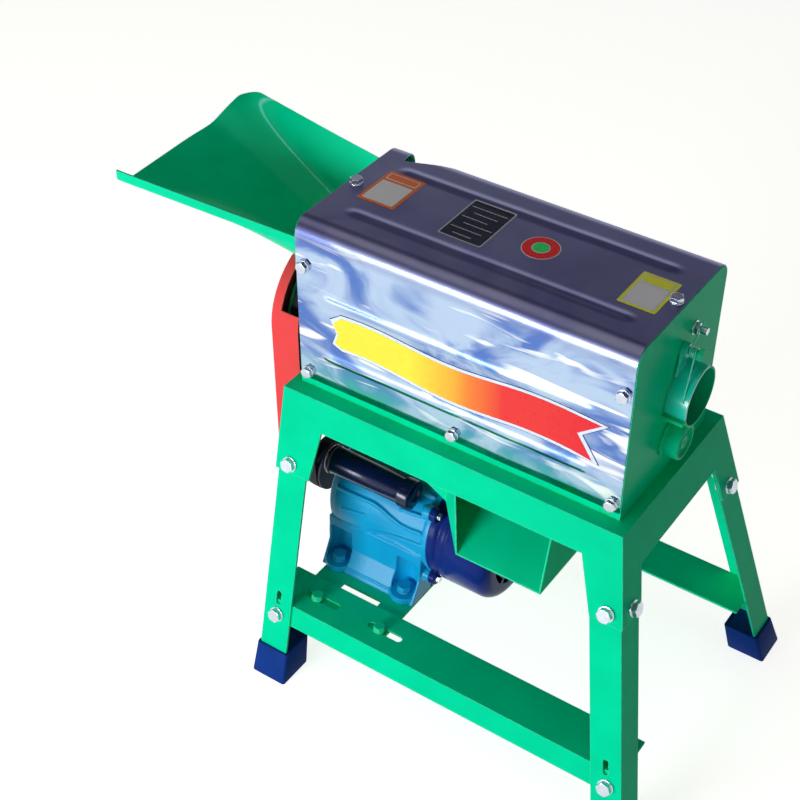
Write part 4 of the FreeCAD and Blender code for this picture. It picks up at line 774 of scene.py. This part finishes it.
rules = [(2, (-66 + 9 * (k % 2), -21 - 6 * (k % 3), 32 - 11 * k, 33.2 - 11 * k, 0.5, 2), "pale")
         for k in range(6)]
makeSticker("orangeSticker", [
    (0, (-182.5, -134, -24, 43, 2), "orange"), (1, (-178.5, -138, -20, 22, 1), "cream"),
    (1, (-178.5, -138, 26, 39, 1), "cream"), (2, (-177, -139.5, 27.5, 37.5, 1), "orange")])
makeSticker("namePlate", [
    (0, (-71, -16, -31.5, 46, 2.5), "pale"), (1, (-69, -18, -29.5, 44, 2), "black")] + rules)
makeSticker("roundBadge", [
    (0, (16, 59.2, -17.1, 26.1, 21.6, 12), "white"), (1, (17.2, 58, -15.9, 24.9, 20.4, 12), "red"),
    (2, (27.4, 47.8, -5.7, 14.7, 10.2, 9), "white"), (3, (28.6, 46.6, -4.5, 13.5, 9.0, 9), "green")])
makeSticker("yellowSticker", [
    (0, (148, 192, -33, 29, 2), "yellow"), (1, (151.5, 188.5, -29.5, 25.5, 1), "white"),
    (2, (153, 187, -28, 9, 1), "cream"), (2, (153, 187, 12, 24, 1), "yellow")])
makeSticker("ribbonDecal", [(0, (4.6,), "navy"), (1, (3.8,), "white"), (2, (0,), "sunset")], "front", pennant)
print("stickers laid on the hood")


motorAxis = (-14, 201)


def ringPoint(x, angle, radius):
    # a point on a cylinder about the motor's axis: x in mm, angle in degrees from the back upwards
    a = math.radians(angle)
    return mm(x, motorAxis[0] + radius * math.cos(a), motorAxis[1] + radius * math.sin(a))


def aroundMotor(radius):
    # four places (y, z) round the motor's axis, at 45 degrees and a quarter turn apart
    spots = []
    for k in range(4):
        a = math.radians(45 + 90 * k)
        spots.append((motorAxis[0] + radius * math.cos(a), motorAxis[1] + radius * math.sin(a)))
    return spots


# motor: a cast iron body with wandering ribs, an apron that runs down to four lugs, painted teal
casting = {
    "radius": 66, "left": -200, "right": -47, "bore": 41, "wall": 12, "shaft": 10.5,
    "footTop": 121, "footBottom": 111, "boltX": (-176.6, -76.6), "boltY": (-84, 56), "lug": 19,
    "lobes": 75, "lobe": 9.5, "voxel": 1.3,
    "apronIn": 40, "apronOut": 70, "apronHalf": 70, "apronTop": 181,
    # how far its outer face is moved out and up at three heights
    "apronSlope": [(111, 13, 0), (146, -4, -4), (181, -6, 0)],
    "pocket": 17, "pocketTop": 167, "flangeFrom": 40, "flangeTo": 80, "flangeHalf": 54, "flangeTop": 119,
    "bridgeHalf": 17, "bridge": 30,
    "ribs": [
        # thickness, then points (x, angle) round the body
        (5.0, [(-186, 152), (-178, 153), (-150, 153), (-131, 152), (-118, 154), (-105, 158), (-85, 162.5),
               (-70, 162), (-56, 161)]),
        (4.0, [(-176, 176), (-160, 173), (-138, 170)]),
        (4.5, [(-93, 145.5), (-75, 144), (-54, 142)]),
        (5.0, [(-187, 207), (-170, 203), (-153, 198), (-132, 190), (-101, 180), (-75, 177), (-54, 175)]),
        (4.0, [(-136, 192), (-110, 190), (-87, 190), (-70, 192), (-56, 195)]),
        (5.0, [(-190, 122), (-120, 121), (-56, 119)]),
        *((5.0, [(-190, angle), (-56, angle)]) for angle in (88, 60, 32, 4, -20)),
    ],
}


def makeCasting(size):
    y = motorAxis[0]
    radius, left, right, lobe, bore, shaft, wall = (
        size[key] for key in ("radius", "left", "right", "lobe", "bore", "shaft", "wall"))
    body = turnedPiece([
        (left + 4, shaft), (left + 4, 30), (left + 2, 34), (left, 52), (left + 1.5, radius - 7),
        (left + 6, radius - 1.5), (left + 14, radius), (right - 8, radius), (right - 6, radius + 2.5),
        (right - 0.2, radius + 2.5), (right - 0.2, bore), (left + wall, bore), (left + wall, shaft),
        (left + 4, shaft)], motorAxis, steps=96)
    extras = []
    for thickness, line in size["ribs"]:
        extras.append(curveMesh("NURBS", [ringPoint(x, angle, radius + 0.6) for x, angle in line], "3D",
                                bevel_depth=thickness / 2000, bevel_resolution=3, use_fill_caps=True))
    low, high = size["footBottom"], size["footTop"]
    mid = sum(size["boltX"]) / 2
    for side, boltY in zip((-1, 1), size["boltY"]):
        # the apron: a sloped skirt from the body down to the foot flange, with a pocket round each bolt
        near, far = y + side * size["apronIn"], y + side * size["apronOut"]
        apron = block((mid - size["apronHalf"], near, low), (mid + size["apronHalf"], far, size["apronTop"]))
        startEdit(apron)
        pick(apron, lambda c, n: n.y * side > 0.9)
        bpy.ops.mesh.subdivide(number_cuts=1)
        for height, out, up in size["apronSlope"]:
            shift(apron, lambda place, n: abs(place.y - far / 1000) < 0.002
                  and abs(place.z - height / 1000) < 0.002, (0, side * out, up))
        endEdit()
        cutAway(apron, [upright(size["pocket"], high, size["pocketTop"], boltX, boltY + side)
                        for boltX in size["boltX"]])
        extras += [apron, block((mid - size["flangeHalf"], y + side * size["flangeFrom"], low),
                                (mid + size["flangeHalf"], y + side * size["flangeTo"], size["flangeTop"]))]
        for boltX in size["boltX"]:
            extras.append(upright(size["lug"], low, high, boltX, boltY))
            extras.append(block((boltX - size["bridgeHalf"], boltY, low),
                                (boltX + size["bridgeHalf"], boltY - side * size["bridge"], high)))
    for spot in aroundMotor(size["lobes"]):
        extras.append(turnedPiece([(right - 15, 0), (right - 13, lobe * 0.7), (right - 9, lobe),
                                   (right - 0.2, lobe), (right - 0.2, 0)], spot, steps=24))
    joined(body, extras)
    body.data.remesh_voxel_size = size["voxel"] / 1000
    selectOnly(body)
    bpy.ops.object.voxel_remesh()
    applyModifier(body, "SMOOTH", factor=0.6, iterations=3)
    finishPiece(body, "motorCasting", "stand", "motor_paint", ["motor_body"], sharp=60)


makeCasting(casting)
print("motor casting made")

# fan cowl: a pressed steel cup with a rolled rim and rings of slots in its end
cowl = {"radius": 71, "left": -31, "right": 41, "sheet": 1.4, "dome": 15,
        "rings": ((14, 21), (27, 34), (40, 47)), "spokes": 8, "spokeWidth": 2, "steps": 96}


def makeCowl(size):
    x0, x1, radius, dome = size["left"], size["right"], size["radius"], size["dome"]
    outline = [(x0, radius - 0.6), (x0 + 1.0, radius), (x0 + 8, radius), (x0 + 9, radius - 0.7),
               (x0 + 11, radius - 0.7), (x0 + 12, radius), (x1 - dome, radius)]
    for k in range(1, 7):
        a = math.radians(15 * k)
        outline.append((x1 - dome + dome * math.sin(a), radius - dome + dome * math.cos(a)))
    for inner, outer in reversed(size["rings"]):
        outline += [(x1, outer), (x1, inner)]
    outline.append((x1, 0))
    obj = turnedPiece(outline, motorAxis, size["steps"])
    middle = mm(0, *motorAxis)
    every = size["steps"] // size["spokes"]

    def isSlot(place, normal):
        if abs(place.x - mm(x1, 0, 0).x) > 0.0005:
            return False
        away = math.hypot(place.y - middle.y, place.z - middle.z) * 1000
        turn = math.atan2(place.z - middle.z, place.y - middle.y) / (2 * math.pi) * size["steps"]
        between = int(turn % size["steps"]) % every
        return between >= size["spokeWidth"] and any(a < away < b for a, b in size["rings"])

    startEdit(obj)
    pick(obj, isSlot)
    bpy.ops.mesh.delete(type="FACE")
    endEdit()
    applyModifier(obj, "SOLIDIFY", thickness=size["sheet"] / 1000, offset=-1)
    finishPiece(obj, "fanCowl", "stand", "motor_navy", ["fan_cowl"], sharp=40)


makeCowl(cowl)

# end bell: a turned casting with a raised band and four ears for the through bolts
bell = {"left": -47, "right": -21, "radius": 69, "bore": 10.5, "ear": 9.5, "circle": 75}


def makeBell(size):
    x0, x1, radius, ear, bore = (size[key] for key in ("left", "right", "radius", "ear", "bore"))
    obj = turnedPiece([
        (x0 + 0.05, bore), (x0 + 0.05, radius - 0.8), (x0 + 0.9, radius), (x0 + 7, radius),
        (x0 + 9.5, radius - 1), (x0 + 12, radius - 3), (x0 + 15, radius - 3), (x0 + 15.5, radius - 0.2),
        (x1, radius - 0.2), (x1, 24), (x1 + 2, 20), (x1 + 2, bore), (x0 + 0.05, bore)], motorAxis, steps=96)
    joined(obj, [turnedPiece([(x0 + 0.05, 0), (x0 + 0.05, ear - 0.7), (x0 + 0.8, ear), (x0 + 7.6, ear),
                              (x0 + 8.8, ear - 1), (x0 + 9, 0)], spot, steps=32)
                 for spot in aroundMotor(size["circle"])])
    finishPiece(obj, "endBell", "stand", "motor_navy", ["motor_end_bell"])


makeBell(bell)

# capacitor: a drawn can with a rounded end at the left and a cap with its clip at the right
capacitor = {"centre": (-69.57, 272.07), "left": -198, "right": -71, "radius": 17.5, "cap": 19.5}


def makeCapacitor(size):
    x0, x1, radius, cap = size["left"], size["right"], size["radius"], size["cap"]
    obj = turnedPiece([
        (x0, 0), (x0, 5), (x0 + 0.6, 10), (x0 + 2.0, 15), (x0 + 4.0, 18), (x0 + 6.5, cap),
        (x0 + 9.4, cap), (x0 + 10, radius + 0.9), (x0 + 12, radius), (x1 - 17, radius),
        (x1 - 16, radius + 0.6), (x1 - 15.5, cap), (x1 - 3, cap), (x1 - 1.2, cap - 0.8), (x1, cap - 3.5),
        (x1, 9), (x1 - 2, 8), (x1 - 2, 0)], size["centre"], steps=64)
    finishPiece(obj, "capacitorCan", "stand", "capacitor_can", ["capacitor"])


makeCapacitor(capacitor)
print("motor's cowl, bell and capacitor made")

# right end: the shaft's bearing housing, closed by a dished cap
bearing = {"centre": (0, 456), "plate": 211, "out": 21, "radius": 21, "foot": 23.5, "rim": 3.4, "dish": 3.4,
           "hub": 8.5, "cap": 4.6, "seat": 17.4, "bore": 12.5}


def makeBearing(size):
    x0, x1 = size["plate"] + 0.1, size["plate"] + size["out"]
    radius, rim, dish, hub, foot, bore, seat = (
        size[key] for key in ("radius", "rim", "dish", "hub", "foot", "bore", "seat"))
    inside = x1 - size["cap"]
    obj = turnedPiece([
        (x0, bore), (x0, foot - 0.6), (x0 + 0.6, foot), (x0 + 2.4, foot), (x0 + 3.4, radius + 0.8),
        (x0 + 4.6, radius), (x1 - 1.4, radius), (x1 - 0.4, radius - 0.5), (x1, radius - 1.4),
        (x1, radius - rim), (x1 - 0.8, radius - rim - 0.6), (x1 - dish, radius - rim - 1.4),
        (x1 - dish, hub + 1.6), (x1 - dish + 0.8, hub + 0.2), (x1 - 2.4, hub), (x1 - 1.6, hub - 0.9),
        (x1 - 1.6, 3.2), (x1 - 2.6, 2.0), (x1 - 2.6, 0), (inside, 0), (inside, seat), (x0 + 4, seat),
        (x0 + 4, bore), (x0, bore)], size["centre"], steps=64)
    finishPiece(obj, "bearingHousing", "stand", "green_paint", ["bearing_housing_right"])


makeBearing(bearing)

# hexagon bolts: a washer, a chamfered head and a shank, modelled once at 10 mm and copied
boltShape = {"washer": 10, "washerThick": 2.0, "across": 16, "head": 6.2, "shank": 4.8,
             "shankEnd": -8, "cornerCut": 0.325, "cutSlope": 1.9, "faceCut": 1.2, "washerEdge": 0.6}


def boltModel(shape):
    thick, head = shape["washerThick"], shape["head"]
    reach = shape["across"] / 2 / math.cos(math.pi / 6)
    place = (0, 0, (thick + head / 2) / 1000)
    bpy.ops.mesh.primitive_cylinder_add(vertices=6, radius=reach / 1000, depth=head / 1000, location=place)
    obj = bpy.context.object
    placeInMesh(obj)
    # the head's corners are turned off by a cone
    cone = reach - shape["cornerCut"]
    bpy.ops.mesh.primitive_cone_add(vertices=48, radius1=(cone + head * shape["cutSlope"]) / 1000,
                                    radius2=(cone - shape["faceCut"]) / 1000, depth=head / 1000,
                                    location=place)
    trim = bpy.context.object
    placeInMesh(trim)
    cutAway(obj, [trim], "INTERSECT")
    startEdit(obj, mark="SELECT")
    bpy.ops.mesh.remove_doubles(threshold=0.00005)
    endEdit()
    atOrigin = (-midX * 1000, 0)
    plate = upright(shape["washer"], 0, thick, *atOrigin, 40)
    shank = upright(shape["shank"], shape["shankEnd"], 1, *atOrigin, 20)
    startEdit(plate, "EDGE")
    pick(plate, lambda c, d: c.z > thick / 1000 - 0.0001 and abs(d.z) < 0.1, "EDGE")
    bpy.ops.mesh.bevel(offset=shape["washerEdge"] / 1000, segments=2, affect="EDGES")
    endEdit()
    return joined(obj, [plate, shank])


def copies(model, seats, size):
    # copies of the bolt model on their seats: (place, direction), each turned a little further
    step = 17
    made = []
    for count, (place, out) in enumerate(seats):
        copy = model.copy()
        copy.data = model.data.copy()
        bpy.context.scene.collection.objects.link(copy)
        turn = Vector(out).to_track_quat("Z", "Y").to_matrix().to_4x4()
        twist = Matrix.Rotation(math.radians(step * (count * 2 + 1)), 4, "Z")
        copy.matrix_world = Matrix.Translation(place) @ turn @ twist @ Matrix.Scale(size / 10, 4)
        placeInMesh(copy)
        made.append(copy)
    return joined(made[0], made[1:])


# the stand's legs: their outer corners at the stand's top, and how far they lean out for every mm down
legs = {"top": 408, "half": 121, "leanOut": 0.229, "ends": {-1: (-222, 0), 1: (226, 0.222)},
        "boltHeight": 312, "boltInX": 20, "boltInY": 24, "railHeight": 95, "railInX": 23, "railInY": 3}
corners = [(end, side) for end in (-1, 1) for side in (-1, 1)]


def onLeg(end, side, z, inX, inY):
    # a place on a leg in mm: at a height, and so far in from the two outer faces of its corner
    edge, lean = legs["ends"][end]
    drop = legs["top"] - z
    return edge + lean * drop - end * inX, side * (legs["half"] + legs["leanOut"] * drop - inY), z


legSeats, railSeats = [], []
for end, side in corners:
    outward = (0, side, legs["leanOut"])
    legSeats.append((mm(*onLeg(end, side, legs["boltHeight"], legs["boltInX"], 0)), outward))
    legSeats.append((mm(*onLeg(end, side, legs["boltHeight"], 0, legs["boltInY"])),
                     (end, 0, legs["ends"][end][1])))
    railSeats.append((mm(*onLeg(end, side, legs["railHeight"], legs["railInX"], legs["railInY"])), outward))

# the hood's bolts: near its ends low and high on each side, at mid length low, and two on top
end, low, high = 199.8, 8.8, 156.5
hoodSeats = [(mm(x, side * hood["width"] / 2, hood["foot"] + rise), (0, side, 0)) for side in (-1, 1)
             for x, rise in ((-end, low), (-end, high), (end, low), (end, high), (0, low))]
hoodSeats += [(mm(x, 0, hood["foot"] + hood["height"]), (0, 0, 1)) for x in (-end, end)]
footSeats = [(mm(x, y, casting["footTop"]), (0, 0, 1)) for x in casting["boltX"] for y in casting["boltY"]]
plateSeats = [(mm(x, y, 114), (0, 0, 1)) for x in (-162, -67) for y in (-152.33, 152.33)]
bellSeats = [(mm(-38, *spot), (1, 0, 0)) for spot in aroundMotor(bell["circle"])]
guardSeats = [(mm(-225.5, y, 378), (-1, 0, 0)) for y in (-100, 100)]
boltGroups = [
    # piece, node it stands for, slot, size, seats
    ("legBolts", "leg_bolts", "zinc", 10, legSeats),
    ("railBolts", "rail_bolts", "zinc", 10, railSeats),
    ("hoodBolts", "hood_bolts", "zinc", 8, hoodSeats),
    ("footBolts", "motor_foot_bolts", "motor_paint", 10, footSeats),
    ("plateBolts", "plate_bolts", "green_paint", 8, plateSeats),
    ("bellBolts", "end_bell_bolts", "zinc", 5, bellSeats),
    ("guardBolts", "guard_bolts", "zinc", 6, guardSeats),
]
model = boltModel(boltShape)
for piece, node, slot, size, seats in boltGroups:
    finishPiece(copies(model, seats, size), piece, "stand", slot, [node], sharp=25)
bpy.data.objects.remove(model)
print("bolts made")

# boots: rubber shoes over the legs' ends, flared towards the floor, with a lip round the leg
boots = {"height": 44, "wide": 47, "flare": 4, "round": 3.5, "lip": 3.2, "lipDrop": 2.0, "legMiddle": 23,
         "lipEdge": 0.3, "soleEdge": 1.2, "rimEdge": 0.8}


def makeBoot(size, end, side):
    floorX, floorY, rimX, rimY = (place for z in (0, size["height"])
                                  for place in onLeg(end, side, z, size["legMiddle"], size["legMiddle"])[:2])
    half = (size["wide"] + size["flare"]) / 2
    obj = block((floorX - half, floorY - half, 0), (floorX + half, floorY + half, size["height"]))
    startEdit(obj)
    pick(obj, lambda c, n: n.z > 0.9)
    bpy.ops.transform.translate(value=((rimX - floorX) / 1000, (rimY - floorY) / 1000, 0))
    shrink = size["wide"] / (size["wide"] + size["flare"])
    bpy.ops.transform.resize(value=(shrink, shrink, 1))
    pick(obj, lambda c, d: abs(d.z) > 0.8, "EDGE")
    bpy.ops.mesh.bevel(offset=size["round"] / 1000, segments=4, affect="EDGES")
    pick(obj, lambda c, n: n.z > 0.9)
    bpy.ops.mesh.inset(thickness=size["lip"] / 1000)
    bpy.ops.mesh.inset(thickness=size["lipEdge"] / 1000, depth=-size["lipDrop"] / 1000)
    pick(obj, lambda c, d: abs(d.z) < 0.2 and c.z < 0.001, "EDGE")
    bpy.ops.mesh.bevel(offset=size["soleEdge"] / 1000, segments=2, affect="EDGES")
    pick(obj, lambda c, d: abs(d.z) < 0.2 and c.z > size["height"] / 1000 - 0.0005, "EDGE")
    bpy.ops.mesh.bevel(offset=size["rimEdge"] / 1000, segments=2, affect="EDGES")
    endEdit()
    words = ["boot", "front" if side < 0 else "back", "left" if end < 0 else "right"]
    finishPiece(obj, words[0] + words[1].title() + words[2].title(), "stand", "rubber", ["_".join(words)])


for end, side in corners:
    makeBoot(boots, end, side)
print("boots made")
